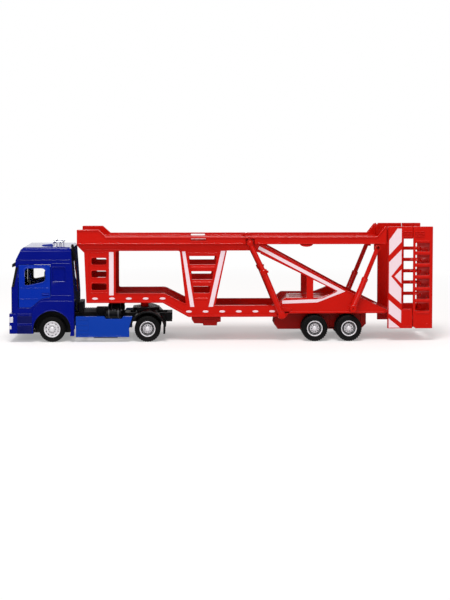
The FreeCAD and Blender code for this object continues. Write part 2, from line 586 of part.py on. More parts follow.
def stack():
    """The exhaust pipe on the left behind the cab, with its silencer and two clips to the cab."""
    foot = ("stack_foot_x", "stack_foot_z")
    head = ("stack_top_x", "stack_top_z")
    sill = f"({CAB_FLOOR} + back_sill)"
    wall_slope = f"(cab_back - cab_back_low) / (roof - rear_drop - {sill})"
    pipe_slope = "(stack_top_x - stack_foot_x) / (stack_top_z - stack_foot_z)"
    clips = []
    for rise in CLIP_RISES:
        level = f"(stack_foot_z + {rise})"
        start = f"(cab_back_low + ({level} - {sill}) * {wall_slope} + lap)"
        clips.append(block(start, "-stack_side - clip_half", level,
                           f"stack_foot_x + {rise} * {pipe_slope} - {start}", "2 * clip_half",
                           "clip_height"))
    return fuse(slanted(foot, head, "-stack_side", "stack_radius"),
                slanted(foot, head, "-stack_side", "silencer_radius", "-silencer_lap",
                        "silencer_length"), *clips)


# ---- tractor: chassis ----------------------------------------------------------------------

def axle_hanger(x, inner, outer, top):
    """A pair of bored plates that carry an axle below the frame."""
    return [block(f"{x} - hanger_half", y, "hanger_low", "2 * hanger_half", f"{outer} - ({inner})",
                  f"{top} - hanger_low") for y in (f"-({outer})", inner)]


def chassis():
    front = "bumper_front + bumper_thick"
    length = f"chassis_rear - ({front})"
    rails = [block(front, y, "rail_low", length, "rail_thick", "rail_high - rail_low")
             for y in ("-chassis_half", "chassis_half - rail_thick")]
    bed = "rail_low + cross_lift"
    crosses = [spread(x, "chassis_half", bed, "cross_width", f"rail_high - ({bed})")
               for x in (front, "front_axle + cross_after_axle", "skirt_front + cross_in_skirt",
                         "skirt_rear - cross_in_skirt", "fifth_front + cross_on_coupling",
                         "fifth_rear - cross_off_coupling", "chassis_rear - cross_width")]
    mounts = [spread(x, "chassis_half", "rail_high - lap", "cross_width",
                     f"{CAB_FLOOR} - rail_high + lap")
              for x in ("step_front + mount_set_in", "cab_back_low - mount_set_in")]
    hangers = []
    for x in ("front_axle", "drive_axle"):
        hangers += axle_hanger(x, "chassis_half - rail_thick", "chassis_half", bed)
    arms = [block(x, y, "rail_low", "arm_length", "skirt_outer - skirt_thick - chassis_half + lap",
                  "arm_height")
            for x in ("skirt_front + arm_front", "skirt_rear - arm_rear")
            for y in ("skirt_thick - skirt_outer", "chassis_half - lap")]
    bores = [cross_pin(x, "tyre_radius", "-chassis_half - past", "2 * (chassis_half + past)",
                       "axle_radius + axle_play") for x in ("front_axle", "drive_axle")]
    return cut(fuse(*rails, *crosses, *mounts, *hangers, *arms), *bores)


def equipment_box():
    return spread("box_front", "box_half", "rail_high", "box_length", "box_top - rail_high")


def gearbox_cover():
    return spread("gearbox_front", "gearbox_half", "rail_high", "gearbox_length",
                  "gearbox_top - rail_high")


def skirt():
    """The left skirt: its rear end follows the mudguard, its top edge has a notch."""
    notch = "skirt_top - notch_depth"
    return left_plate([[
        ("skirt_front", "skirt_low"), ("skirt_rear - skirt_foot", "skirt_low"),
        (f"drive_axle - {GUARD_RADIUS} - guard_thick - skirt_clear", "tyre_radius"),
        (f"drive_axle - {GUARD_RADIUS} - guard_thick - skirt_shoulder", "tyre_radius + skirt_bend"),
        (f"drive_axle - {GUARD_RADIUS} + skirt_tip", "skirt_top"),
        ("skirt_notch_rear + notch_slope", "skirt_top"), ("skirt_notch_rear", notch),
        ("skirt_notch_front", notch), ("skirt_notch_front - notch_slope", "skirt_top"),
        ("skirt_front", "skirt_top")]], "skirt_outer", "skirt_thick")


def tanks():
    """A round air tank each side on a bracket from the chassis rail."""
    tank = long_pin("tank_front", "-tank_side", "tank_height", "tank_length", "tank_radius")
    bracket = block("tank_front + tank_length / 2 - bracket_half", "-tank_side",
                    "rail_low + bracket_rise", "2 * bracket_half", "tank_side - chassis_half",
                    "bracket_height")
    return both(fuse(tank, bracket))


def mudguards():
    """A mudguard over each pair of drive wheels, with its flap."""
    width = "wheel_outer - guard_inner_y"
    outside, across = "-wheel_outer - past", f"{width} + 2 * past"
    ring = cut(cross_pin("drive_axle", "tyre_radius", "-wheel_outer", width,
                         f"{GUARD_RADIUS} + guard_thick"),
               cross_pin("drive_axle", "tyre_radius", outside, across, GUARD_RADIUS),
               block(f"drive_axle - {GUARD_RADIUS} - guard_trim", outside, "-guard_trim",
                     f"2 * ({GUARD_RADIUS} + guard_trim)", across,
                     "guard_trim + tyre_radius + guard_rise"))
    flap = block(f"drive_axle + {GUARD_RADIUS} - flap_lap", "-wheel_outer", "flap_low",
                 "guard_thick + flap_lap", width, "tyre_radius + flap_rise - flap_low")
    bracket = block(f"drive_axle + {GUARD_RADIUS} - stay_lap", "-guard_inner_y - stay_root",
                    "rail_high - stay_drop", "stay_length",
                    "guard_inner_y + stay_root - chassis_half", "stay_height")
    return both(fuse(ring, flap, bracket))


def fifth_wheel():
    """The coupling plate on its stand, bored for the kingpin."""
    right = [("fifth_front", "fifth_half * fifth_front_share"),
             ("fifth_front + fifth_front_run", "fifth_half"),
             ("fifth_rear - fifth_rear_run", "fifth_half"),
             ("fifth_rear", "fifth_half * fifth_rear_share")]
    left = [(x, f"-{y}") for x, y in reversed(right)]
    plate = prism("XY_Plane", [right + left], "fifth_top - fifth_thick", "fifth_thick")
    stand = spread("kingpin - stand_half", "chassis_half", "rail_high", "2 * stand_half",
                   "fifth_top - fifth_thick - rail_high + lap")
    bore = cylinder("kingpin", "0", "rail_high - coupling_drop", "coupling_bore",
                    "kingpin_bore + pin_play")
    return cut(fuse(plate, stand), bore)


# ---- wheels --------------------------------------------------------------------------------

def tyre_section(outer, width):
    """Corners (radius, y) of a tyre whose outer face is at -outer."""
    half = [("rim_radius", "0"), ("tyre_radius - tyre_shoulder", "0"), ("tyre_radius", "tyre_round")]
    front = [(radius, f"{inset} - ({outer})") for radius, inset in half]
    back = [(radius, f"{width} - {inset} - ({outer})") for radius, inset in reversed(half)]
    return front + back


def wheelset(name, x, twin, dished):
    """Tyres, rims and axle of one pair of wheels, or of twin wheels, as three nodes."""
    span = "(2 * tyre_width + twin_gap)" if twin else "tyre_width"
    places = ["wheel_outer"] + (["wheel_outer - tyre_width - twin_gap"] if twin else [])
    tyres = [turned(tyre_section(place, "tyre_width"), x) for place in places]
    node(group(*tyres, *[mirrored(tyre) for tyre in tyres]), f"{name}_tyres")
    face = "dish_depth" if dished else "face_depth"
    slope, rise = (("dish_slope", f"{face} + dish_rise") if dished
                   else ("crown_slope", "crown_rise"))
    barrel = "rim_radius - rim_wall"
    section = [("axle_radius", face), ("hub_radius", f"{face} - hub_proud"),
               (f"{barrel} - {slope}", rise), (barrel, "rim_set_in"),
               ("rim_radius - rim_fit", "rim_set_in"), ("rim_radius - rim_fit", f"{span} - rim_set_in"),
               (barrel, f"{span} - rim_set_in"), (barrel, f"{face} + disc_thick"),
               ("axle_radius", f"{face} + disc_thick")]
    rim = turned([(radius, f"{depth} - wheel_outer") for radius, depth in section], x)
    node(both(rim), f"{name}_rims")
    node(cross_pin(x, "tyre_radius", f"{face} + axle_set_in - wheel_outer",
                   f"2 * (wheel_outer - {face} - axle_set_in)", "axle_radius - axle_fit"),
         f"{name}_axle")


# ---- trailer -------------------------------------------------------------------------------

def side_frame():
    """The left side frame: overhang, windows, vee frame, well sill and rear diagonal."""
    hump_sill, well_sill = f"{HUMP_LOW} + hump_sill", "well_low + well_sill"
    outline = [("overhang_front", "frame_top"), ("overhang_front", "overhang_low"),
               ("wall_front", "wall_step"), ("wall_front + wall_set_back", "beam_low"),
               ("neck_front", "beam_low"), ("neck_rear", "well_low"), ("well_rear", "well_low"),
               ("hump_front", HUMP_LOW), ("tail_low_x", HUMP_LOW),
               ("tail_x", f"{HUMP_LOW} + tail_rise"), ("beam_tip_x", "beam_tip_z"),
               ("beam_top_x", "beam_top_z"), ("beam_foot_x", "beam_foot_z"),
               ("post_front", slope_height("post_front")), ("post_front", hump_sill),
               ("strut_foot_x + foot_pad", hump_sill), ("well_rear + well_corner", well_sill),
               ("vee_right_low", well_sill), ("vee_right_top", "band_low"),
               ("band_end", "band_low"), ("band_end", "frame_top")]
    vents = [rectangle("vent_front", "vent_rear", f"vent_low + {index} * vent_pitch",
                       f"vent_low + {index} * vent_pitch + vent_height") for index in range(VENTS)]
    window = [("window_front", "beam_low + beam_rise"),
              ("neck_front + window_neck", "beam_low + beam_rise"),
              ("vee_left_low - window_vee", f"{well_sill} + window_sill"),
              ("window_rear", "band_low"), ("window_front", "band_low")]
    triangle = [("post_rear", hump_sill), ("post_rear + tri_foot", hump_sill),
                ("tri_tip_x", "tri_tip_z"), ("post_rear", slope_height("post_rear"))]
    return left_plate([outline, window, triangle] + vents + vee_openings(), "side_outer",
                      "side_thick")


def slope_height(x):
    """Height of the rear diagonal's lower edge at x."""
    slope = "(tri_tip_z - beam_foot_z) / (tri_tip_x - beam_foot_x)"
    return f"beam_foot_z + ({x} - beam_foot_x) * {slope}"


def vee_openings():
    """The three openings between the arms of the vee frame, narrower towards the well."""
    opens = []
    for low, high in VEE_OPENINGS:
        left = f"vee_left_top + (band_low - {low}) * vee_left_slope + vee_left_bar"
        right = f"vee_right_top - (band_low - {low}) * vee_right_slope - vee_right_bar"
        opens.append([(left, low), (right, low), (f"{right} + vee_right_draft", high),
                      (f"{left} - vee_left_draft", high)])
    return opens


def lower_deck():
    """The lower floor between the side frames: front, gooseneck, well, hump and rear slope."""
    top = [("wall_front + floor_start", "low_floor"), ("neck_front", "low_floor"),
           ("neck_rear + well_start", "well_floor"), ("well_rear", "well_floor"),
           ("hump_front + floor_start", HUMP_FLOOR), ("beam_tip_x", HUMP_FLOOR),
           ("tail_x", f"{HUMP_LOW} + tail_rise")]
    bottom = [(x, f"{z} - floor_thick") for x, z in reversed(top)]
    return prism("XZ_Plane", [top + bottom], f"-{SIDE_INNER}", f"2 * {SIDE_INNER}")


def front_wall():
    """The wall across the trailer's front."""
    face, head = "wall_front + lap", "wall_step + wall_rise"
    return prism("XZ_Plane", [[
        ("wall_front + wall_set_back", "beam_low"), ("wall_front + floor_start", "beam_low"),
        ("wall_front + floor_start", head), (face, head), (face, "wall_step")]],
        f"-{SIDE_INNER}", f"2 * {SIDE_INNER}")


def kingpin_block():
    """The block below the front floor, with the pin that sits in the coupling."""
    bed = spread("kingpin - bed_half", SIDE_INNER, "beam_low", "2 * bed_half",
                 "low_floor - floor_thick - beam_low")
    column = cylinder("kingpin", "0", "fifth_top + coupling_gap", "beam_low - fifth_top",
                      "kingpin_radius")
    pin = cylinder("kingpin", "0", "rail_high + kingpin_clear", "fifth_top - rail_high",
                   "kingpin_bore")
    return fuse(bed, column, pin)


def deck_floor(start, end, z="frame_top"):
    return spread(start, RAIL_INNER, z, f"{end} - ({start})", "floor_thick")


def upper_deck_front():
    """The fixed upper deck: floor, side rails that rise at the front, and a front lip."""
    rail = left_plate([[
        ("overhang_front", "rail_foot"), ("deck_split - knuckle_radius - split_gap", "rail_foot"),
        ("deck_split - knuckle_radius - split_gap", f"hinge_height + {HINGE_ROOM}"),
        ("deck_split - split_gap", f"hinge_height + {HINGE_ROOM}"),
        ("deck_split - split_gap", "rail_top"), ("front_rail_foot", "rail_top"),
        ("front_rail_end", "front_rail_top"), ("overhang_front", "front_rail_top")],
        rectangle("rail_slot_front", "rail_slot_rear", "rail_slot_low", "rail_slot_high")],
        RAIL_OUTER, f"{RAIL_OUTER} - {RAIL_INNER}")
    lip = spread("overhang_front", f"{RAIL_INNER} + lap", "frame_top", "lip_length",
                 "rail_top - frame_top")
    floor = deck_floor("overhang_front", "deck_split - knuckle_radius - split_gap")
    return fuse(rail, mirrored(rail), floor, lip)


def upper_deck_rear():
    """The tilting upper deck: floor, rails, hinge ears and the lugs for the rams."""
    rail = left_plate([[
        ("deck_split + knuckle_radius + rail_relief", "rail_foot"), (DECK_END, "rail_foot"),
        (DECK_END, "rear_rail_top"), (f"{DECK_END} - rear_rail_flat", "rear_rail_top"),
        (f"{DECK_END} - rear_rail_flat - rear_rail_slope", "rail_top"),
        ("deck_split + split_gap", "rail_top"),
        ("deck_split + split_gap", f"hinge_height + {HINGE_ROOM}"),
        ("deck_split + knuckle_radius + rail_relief", f"hinge_height + {HINGE_ROOM}")]],
        RAIL_OUTER, f"{RAIL_OUTER} - {RAIL_INNER}")
    floor = deck_floor("deck_split - ear_half", DECK_END)
    ear = fuse(cross_pin("deck_split", "hinge_height", "ear_gap - side_outer", "ear_thick",
                         "deck_ear"),
               block("deck_split - ear_half", "ear_gap - side_outer", "hinge_height", "ear_length",
                     "ear_thick", "frame_top - hinge_height + lap"))
    bore = cross_pin("deck_split", "hinge_height", f"-{RAIL_OUTER}", "ear_bore",
                     "hinge_radius + pin_play")
    lug_low = "ram_head_z - ram_lug_half"
    lug = block("ram_head_x - ram_lug_half", "-side_outer - lug_gap", lug_low, "2 * ram_lug_half",
                "lug_thick", f"frame_top - ({lug_low}) + lap")
    pin = cross_pin("ram_head_x", "ram_head_z", f"-{RAM_SIDE} - ram_barrel",
                    f"{RAM_SIDE} + ram_barrel - side_outer + ram_pin_root", "ram_pin")
    bits = [rail, ear, lug, pin]
    room = cross_pin("deck_split", "hinge_height", f"-{RAIL_OUTER} - past",
                     f"{RAIL_OUTER} + past - side_outer", HINGE_ROOM)
    return cut(fuse(floor, *bits, *[mirrored(bit) for bit in bits]), bore, mirrored(bore), room,
               mirrored(room))


def struts():
    """The fixed struts that carry the deck's hinge, each with the hinge's pin."""
    foot = ("strut_foot_x", "strut_foot_z")
    collar = ("strut_collar_x", "strut_collar_z")
    head = ("deck_split", "hinge_height")
    inner = f"{STRUT_SIDE} - side_outer"
    run, rise = "(strut_collar_x - strut_foot_x)", "(strut_collar_z - strut_foot_z)"
    pieces = [slanted(foot, collar, f"-{STRUT_SIDE}", "strut_barrel"),
              slanted(collar, head, f"-{STRUT_SIDE}", "strut_rod", "-rod_lap"),
              slanted(foot, collar, f"-{STRUT_SIDE}", "strut_barrel + collar_step",
                      f"sqrt({run} ^ 2 + {rise} ^ 2) - collar_back", "collar_length"),
              cross_pin(*foot, f"-{STRUT_SIDE} - strut_barrel - eye_margin",
                        f"{inner} + strut_barrel + eye_margin", "strut_eye"),
              cross_pin(*head, f"-{STRUT_SIDE} - strut_rod - eye_margin",
                        "2 * (strut_rod + eye_margin)", "knuckle_radius"),
              cross_pin(*head, f"-{STRUT_SIDE}", f"{inner} + hinge_pin_root", "hinge_radius")]
    return both(fuse(*pieces))


def ram_barrels():
    """The lower halves of the rear rams, bored for the rods and pinned to the side frames."""
    foot = ("ram_foot_x", "ram_foot_z")
    head = ("ram_head_x", "ram_head_z")
    eye_half = "(ram_barrel + ram_eye_margin)"
    tube = slanted(foot, head, f"-{RAM_SIDE}", "ram_barrel", "0", "ram_barrel_length")
    knuckle = cross_pin(*foot, f"-{RAM_SIDE} - {eye_half}", f"2 * {eye_half}",
                        "ram_barrel + ram_eye_step")
    barrel = cut(fuse(tube, knuckle),
                 slanted(foot, head, f"-{RAM_SIDE}", "ram_rod + ram_play", "ram_bore_start",
                         "ram_barrel_length"),
                 cross_pin(*foot, f"-{RAM_SIDE} - eye_tool", "2 * eye_tool", "ram_pin + pin_play"))
    return both(barrel)


def ram_rods():
    """The rods, each with an eye that has room round the deck's pin."""
    foot = ("ram_foot_x", "ram_foot_z")
    head = ("ram_head_x", "ram_head_z")
    eye = "(ram_pin + ram_eye_play + ram_eye_wall)"
    eye_half = "(ram_rod + ram_eye_margin)"
    rod = cut(fuse(slanted(foot, head, f"-{RAM_SIDE}", "ram_rod", "ram_barrel_length - ram_overlap"),
                   cross_pin(*head, f"-{RAM_SIDE} - {eye_half}", f"2 * {eye_half}", eye)),
              cross_pin(*head, f"-{RAM_SIDE} - eye_tool", "2 * eye_tool", "ram_pin + ram_eye_play"))
    return both(rod)


def ram_pins():
    """The pins on the side frames that the rams turn on."""
    return both(cross_pin("ram_foot_x", "ram_foot_z", f"-{RAM_SIDE} - ram_barrel",
                          f"{RAM_SIDE} + ram_barrel - side_outer", "ram_pin"))


def rear_post():
    """The left post before the ramp, open towards the ramp."""
    return left_plate([[
        ("post_x", "gate_low"), (POST_END, "gate_low"), (POST_END, "slot_low"),
        ("slot_x", "slot_low"), ("slot_x", "slot_high"), (POST_END, "slot_high"),
        (POST_END, "gate_top"), ("post_x", "gate_top")]],
        "side_outer + gate_thick", "gate_thick")


def tail_floor():
    """The sloped floor between the posts, with the ears that carry the ramp."""
    end = f"{RAMP_HINGE} - ramp_ear - tail_clear"
    root = f"{end} - ear_root"
    top = [("tail_x", f"{HUMP_LOW} + tail_rise"), (end, "ramp_hinge_z + tail_end_rise")]
    bottom = [(x, f"{z} - floor_thick - tail_extra") for x, z in reversed(top)]
    slab = prism("XZ_Plane", [top + bottom], "-side_outer", "2 * side_outer")
    ear = cut(fuse(cross_pin(RAMP_HINGE, "ramp_hinge_z", "ramp_side_play - side_outer",
                             "ramp_ear_thick", "ramp_ear"),
                   block(root, "ramp_side_play - side_outer", "ramp_hinge_z - ramp_ear",
                         f"{RAMP_HINGE} - ({root})", "ramp_ear_thick", "2 * ramp_ear")),
              cross_pin(RAMP_HINGE, "ramp_hinge_z", "-side_outer - past", "ear_bore",
                        "ramp_pin + pin_play"))
    return fuse(slab, ear, mirrored(ear))


def rear_ramp():
    """The ramp: ladder sides, a slotted plate between them and the hinge pins."""
    edge = [(RAMP_START, "gate_low + corner_cut"), (f"{RAMP_START} + corner_cut", "gate_low"),
            (RAMP_END, "gate_low"), (RAMP_END, "gate_top"), (RAMP_START, "gate_top")]
    rungs = [rectangle(f"{RAMP_START} + ladder_margin_front", f"{RAMP_END} - ladder_margin_rear",
                       f"ladder_low + {step} * ladder_pitch",
                       f"ladder_low + {step} * ladder_pitch + ladder_height")
             for step in range(LADDER_STEPS)]
    side = left_plate([edge] + rungs, "side_outer + gate_thick", "gate_thick")
    low = "ramp_hinge_z + ramp_ear + plate_clear"
    slots = [rectangle(y, f"{y} + 2 * plate_slot_half", f"{low} + slot_rise + {row} * ladder_pitch",
                       f"{low} + slot_rise + {row} * ladder_pitch + plate_slot_height")
             for row in range(PLATE_SLOTS)
             for y in ("-slot_column - plate_slot_half", "slot_column - plate_slot_half")]
    plate = prism("YZ_Plane", [rectangle("-side_outer - lap", "side_outer + lap", low,
                                         "ramp_plate_top")] + slots,
                  f"{RAMP_END} - ramp_plate", "ramp_plate")
    pin = cross_pin(RAMP_HINGE, "ramp_hinge_z", "-side_outer - gate_thick",
                    "gate_thick + ramp_pin_root", "ramp_pin")
    return fuse(side, mirrored(side), plate, pin, mirrored(pin))


def undercarriage():
    """The block below the rear floor that carries both trailer axles."""
    roof = f"{HUMP_FLOOR} - floor_thick"
    bed = prism("XZ_Plane", [[
        ("bogie_front_end + bogie_nose", "bogie_low"), ("bogie_rear_end - bogie_tail", "bogie_low"),
        ("bogie_rear_end", "bogie_low + bogie_corner"),
        ("bogie_rear_end", f"{HUMP_LOW} + bogie_shoulder"), ("beam_tip_x", roof),
        ("hump_front + bogie_slope", roof),
        ("bogie_front_end + bogie_front_slope", "well_floor - floor_thick"),
        ("bogie_front_end", "bogie_low + bogie_corner")]], "-bogie_half", "2 * bogie_half")
    bores = [cross_pin(x, "tyre_radius", "-bogie_half - past", "2 * (bogie_half + past)",
                       "axle_radius + axle_play") for x in ("bogie_front", "bogie_rear")]
    return cut(bed, *bores)


def support_block():
    """The stowed support legs as one stepped block under the well."""
    half = f"({SIDE_INNER} - leg_margin)"
    top, rear = "well_floor - floor_thick", "leg_front + leg_length"
    steps = [(f"leg_front + {run}", f"leg_low + {rise}") for run, rise in LEG_STEPS]
    return prism("XZ_Plane", [steps + [(rear, "leg_low + leg_rear_rise"), (rear, top),
                                       ("leg_front", top)]], f"-{half}", f"2 * {half}")


for name, make in (
        ("chassis_frame", chassis), ("equipment_box", equipment_box), ("gearbox_cover", gearbox_cover),
        ("cab_shell", cab), ("windscreen", windscreen), ("sun_visor", visor), ("front_grille", grille),
        ("front_bumper", bumper), ("head_lamps", lamps), ("dashboard", dashboard),
        ("steering_wheel", steering), ("cab_seats", seats), ("roof_hatch", hatch), ("roof_horns", horns),
        ("exhaust_stack", stack), ("air_tanks", tanks), ("drive_mudguards", mudguards),
        ("fifth_wheel", fifth_wheel), ("lower_deck", lower_deck), ("front_wall", front_wall),
        ("kingpin_block", kingpin_block), ("upper_deck_front", upper_deck_front),
        ("upper_deck_rear", upper_deck_rear), ("deck_struts", struts), ("ram_barrels", ram_barrels),
        ("ram_rods", ram_rods), ("ram_pins", ram_pins), ("tail_floor", tail_floor),
        ("rear_ramp", rear_ramp), ("undercarriage", undercarriage), ("support_block", support_block)):
    node(make(), name)
for name, make in (("door", door), ("side_window", side_glass), ("side_skirt", skirt),
                   ("side_frame", side_frame), ("rear_post", rear_post)):
    left = node(make(), f"{name}_left")
    node(mirrored(left), f"{name}_right")
for name, place, is_twin, is_dished in (
        ("front_wheel", "front_axle", False, False), ("drive_wheel", "drive_axle", True, True),
        ("trailer_wheel_a", "bogie_front", True, True), ("trailer_wheel_b", "bogie_rear", True, True)):
    wheelset(name, place, is_twin, is_dished)

doc.recompute()
for thing in doc.Objects:
    if {"Invalid", "Error"} & set(thing.State):
        raise RuntimeError(f"{thing.Name} in the build of a sub-part has failed: {thing.State}")
for thing in nodes:
    if thing.Shape.isNull() or not thing.Shape.isValid() or not thing.Shape.Solids:
        raise RuntimeError(f"{thing.Label} has no valid solid")
os.makedirs("parts", exist_ok=True)
for thing in nodes:
    thing.Shape.exportStep(f"parts/{thing.Label}.step")
print(len(nodes), "sub-parts written")
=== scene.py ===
import json
import math

import bmesh
import bpy
import numpy as np
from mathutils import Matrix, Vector


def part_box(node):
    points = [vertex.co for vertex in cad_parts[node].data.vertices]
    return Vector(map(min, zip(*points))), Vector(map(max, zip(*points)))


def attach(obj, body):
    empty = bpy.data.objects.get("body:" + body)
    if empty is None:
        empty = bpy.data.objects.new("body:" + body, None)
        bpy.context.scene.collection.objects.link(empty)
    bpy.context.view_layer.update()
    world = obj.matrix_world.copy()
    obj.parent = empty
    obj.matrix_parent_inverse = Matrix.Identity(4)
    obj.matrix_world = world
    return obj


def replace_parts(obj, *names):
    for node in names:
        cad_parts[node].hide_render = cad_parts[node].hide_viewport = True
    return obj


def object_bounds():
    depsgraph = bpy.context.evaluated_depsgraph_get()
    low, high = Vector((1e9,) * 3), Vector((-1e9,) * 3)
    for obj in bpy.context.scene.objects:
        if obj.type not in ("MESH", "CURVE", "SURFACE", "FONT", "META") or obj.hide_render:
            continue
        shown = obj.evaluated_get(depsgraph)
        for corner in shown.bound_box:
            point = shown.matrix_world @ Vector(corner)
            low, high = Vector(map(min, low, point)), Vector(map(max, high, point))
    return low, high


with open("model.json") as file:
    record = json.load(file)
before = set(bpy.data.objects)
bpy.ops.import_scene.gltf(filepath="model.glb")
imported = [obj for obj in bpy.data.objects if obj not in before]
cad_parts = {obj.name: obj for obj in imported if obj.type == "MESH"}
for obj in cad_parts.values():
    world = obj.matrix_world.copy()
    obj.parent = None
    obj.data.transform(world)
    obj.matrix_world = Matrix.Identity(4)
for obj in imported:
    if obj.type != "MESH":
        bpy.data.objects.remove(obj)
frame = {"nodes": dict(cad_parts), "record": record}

# A toy car transporter in moulded plastic. Lengths here are millimetres in the frame's axes: +X
# to the rear, -Y the vehicle's left, +Z up. They become metres where a mesh is made.
MM = 0.001
CAD_LOW, CAD_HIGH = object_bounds()
LEFT = np.array((0.0, -1.0, 0.0))
FORWARD = np.array((-1.0, 0.0, 0.0))
REARWARD = np.array((1.0, 0.0, 0.0))
UP = np.array((0.0, 0.0, 1.0))
DOWN = np.array((0.0, 0.0, -1.0))

# A corner's curve takes at most this share of the shorter side beside it.
CORNER_SHARE = 0.45
# A mitre is divided by no less than this, so a very sharp corner does not shoot out.
MITRE_FLOOR = 0.35
# A direction that lies along no turned piece.
ASKEW = (0.31, 0.17, 0.93)
# How deep moulded lines, and domes and nuts, reach into what they stand on.
SUNK, DOME_SUNK = 0.12, 0.1


def box_mm(node):
    """Lowest and highest corner of a CAD node."""
    low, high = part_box(node)
    return np.array(low) / MM, np.array(high) / MM


BODY_OF = {node: body for body, nodes in frame["record"]["behaviour"]["bodies"].items()
           for node in nodes}


# ---- surfaces ------------------------------------------------------------------------------
# A solid is (points, face_sets): an array of points and a list of arrays of corner numbers.

def quads(rows, columns, loop_rows, loop_columns):
    """Faces of a grid of points: corners (r, c), (r, c+1), (r+1, c+1), (r+1, c)."""
    r, c = np.meshgrid(np.arange(rows - (not loop_rows)), np.arange(columns - (not loop_columns)),
                       indexing="ij")
    below, beside = (r + 1) % rows, (c + 1) % columns
    corners = (r * columns + c, r * columns + beside, below * columns + beside, below * columns + c)
    return np.stack(corners, -1).reshape(-1, 4)


def capped(rings, size):
    """Faces of that many rings of points, one after another, with a face on each end."""
    return [quads(rings, size, False, True), np.arange(size)[None],
            np.arange((rings - 1) * size, rings * size)[None]]


def joined(*solids):
    """Several solids as one."""
    starts = np.cumsum([0] + [len(points) for points, _ in solids])
    faces = [face_set + start for (_, sets), start in zip(solids, starts) for face_set in sets]
    return np.concatenate([points for points, _ in solids]), faces


def mirrored(solid):
    """The twin on the other side of the middle plane: y becomes -y and faces turn round."""
    points, sets = solid
    return points * (1, -1, 1), [face_set[:, ::-1] for face_set in sets]


def both_sides(*solids):
    """Solids and their twins on the other side, as one solid."""
    one = joined(*solids)
    return joined(one, mirrored(one))


def unit(vector):
    """Vectors scaled to a length of one."""
    vector = np.asarray(vector, float)
    return vector / np.linalg.norm(vector, axis=-1, keepdims=True)


def round_corners(corners, radius, closed=True, steps=4):
    """Each corner becomes a curve b(t) = (1-t)^2 start + 2t(1-t) corner + t^2 end."""
    corners = np.asarray(corners, float)
    before, after = np.roll(corners, 1, 0) - corners, np.roll(corners, -1, 0) - corners
    shorter = np.minimum(np.linalg.norm(before, axis=1), np.linalg.norm(after, axis=1))
    reach = np.minimum(radius, CORNER_SHARE * shorter)[:, None]
    start, end = corners + unit(before) * reach, corners + unit(after) * reach
    if not closed:
        start[[0, -1]] = end[[0, -1]] = corners[[0, -1]]
    t = np.linspace(0, 1, steps)[None, :, None]
    curve = (1 - t) ** 2 * start[:, None] + 2 * t * (1 - t) * corners[:, None] + t ** 2 * end[:, None]
    points = curve.reshape(-1, corners.shape[1])
    return points if closed else points[steps - 1:-(steps - 1)]


def rectangle(x0, z0, x1, z1):
    """Four corners in order: (x0, z0), (x1, z0), (x1, z1), (x0, z1)."""
    return [(x0, z0), (x1, z0), (x1, z1), (x0, z1)]


def side_path(corners, y):
    """(x, z) corners as points on a plane at y."""
    corners = np.asarray(corners, float)
    return np.stack([corners[:, 0], np.full(len(corners), float(y)), corners[:, 1]], -1)


def mitres(path, side, closed):
    """Offset at each path point that moves both runs there sideways by one."""
    ahead, behind = np.roll(path, -1, 0) - path, path - np.roll(path, 1, 0)
    if not closed:
        ahead[-1], behind[0] = behind[-1], ahead[0]
    first, second = np.cross(side, unit(behind)), np.cross(side, unit(ahead))
    middle = unit(first + second)
    return middle / np.maximum((middle * first).sum(1, keepdims=True), MITRE_FLOOR)


def swept(path, section, side, closed=False):
    """A closed section along a path: point(i, j) = path_i + across_j * mitre_i + out_j * side."""
    path, section = np.asarray(path, float), np.asarray(section, float)
    offset = mitres(path, side, closed)
    points = path[:, None] + section[None, :, :1] * offset[:, None] + section[None, :, 1:] * side
    count, size = len(path), len(section)
    faces = [quads(count, size, True, True)] if closed else capped(count, size)
    return points.reshape(-1, 3), faces


def half_round(width, height, sunk=SUNK, steps=7):
    """Section of a bead: across = w/2 cos a, out = h sin a, closed below the surface."""
    a = np.linspace(0, np.pi, steps)
    arc = np.stack([width / 2 * np.cos(a), height * np.sin(a)], -1)
    return np.concatenate([arc, [(-width / 2, -sunk), (width / 2, -sunk)]])


def bar_section(width, height, edge):
    """Section of a flat bar with its two outer edges rounded."""
    half = width / 2
    outline = [(half, -SUNK), (half, height), (-half, height), (-half, -SUNK)]
    curved = round_corners(outline, edge, steps=3)
    return np.concatenate([[outline[0]], curved[3:9], [outline[3]]])


def side_run(corners, y, section, closed=False):
    """A section swept along (x, z) corners on a plane at y."""
    return swept(side_path(corners, y), section, LEFT, closed)


def crossbar(x, half, z, section, side):
    """A section swept across the toy, as far to each side of its middle."""
    return swept([(x, -half, z), (x, half, z)], section, side)


def bead(corners, y, width, height, closed=False, radius=0.0):
    """A moulded line on a side face, from (x, z) corners."""
    if radius:
        corners = round_corners(corners, radius, closed)
    return side_run(corners, y, half_round(width, height), closed)


def plate(outline, y, thick, edge):
    """A flat plate on a plane at y with a rounded front edge.
    Ring k is the outline moved in by edge (1 - cos a_k) and out by thick - edge (1 - sin a_k). One
    more ring, half an edge further in, keeps the flat's shading flat."""
    path = side_path(outline, y)
    offset = mitres(path, LEFT, True)
    area = np.cross(np.roll(path, -1, 0) - path, path).sum(0) @ LEFT
    a = np.linspace(0, np.pi / 2, 4)
    inset = np.concatenate([[0], edge * (1 - np.cos(a)), [edge * 1.5]]) * (1 if area < 0 else -1)
    out = np.concatenate([[0], thick - edge * (1 - np.sin(a)), [thick]])
    points = path[None] + inset[:, None, None] * offset[None] + out[:, None, None] * LEFT
    return points.reshape(-1, 3), capped(len(inset), len(path))


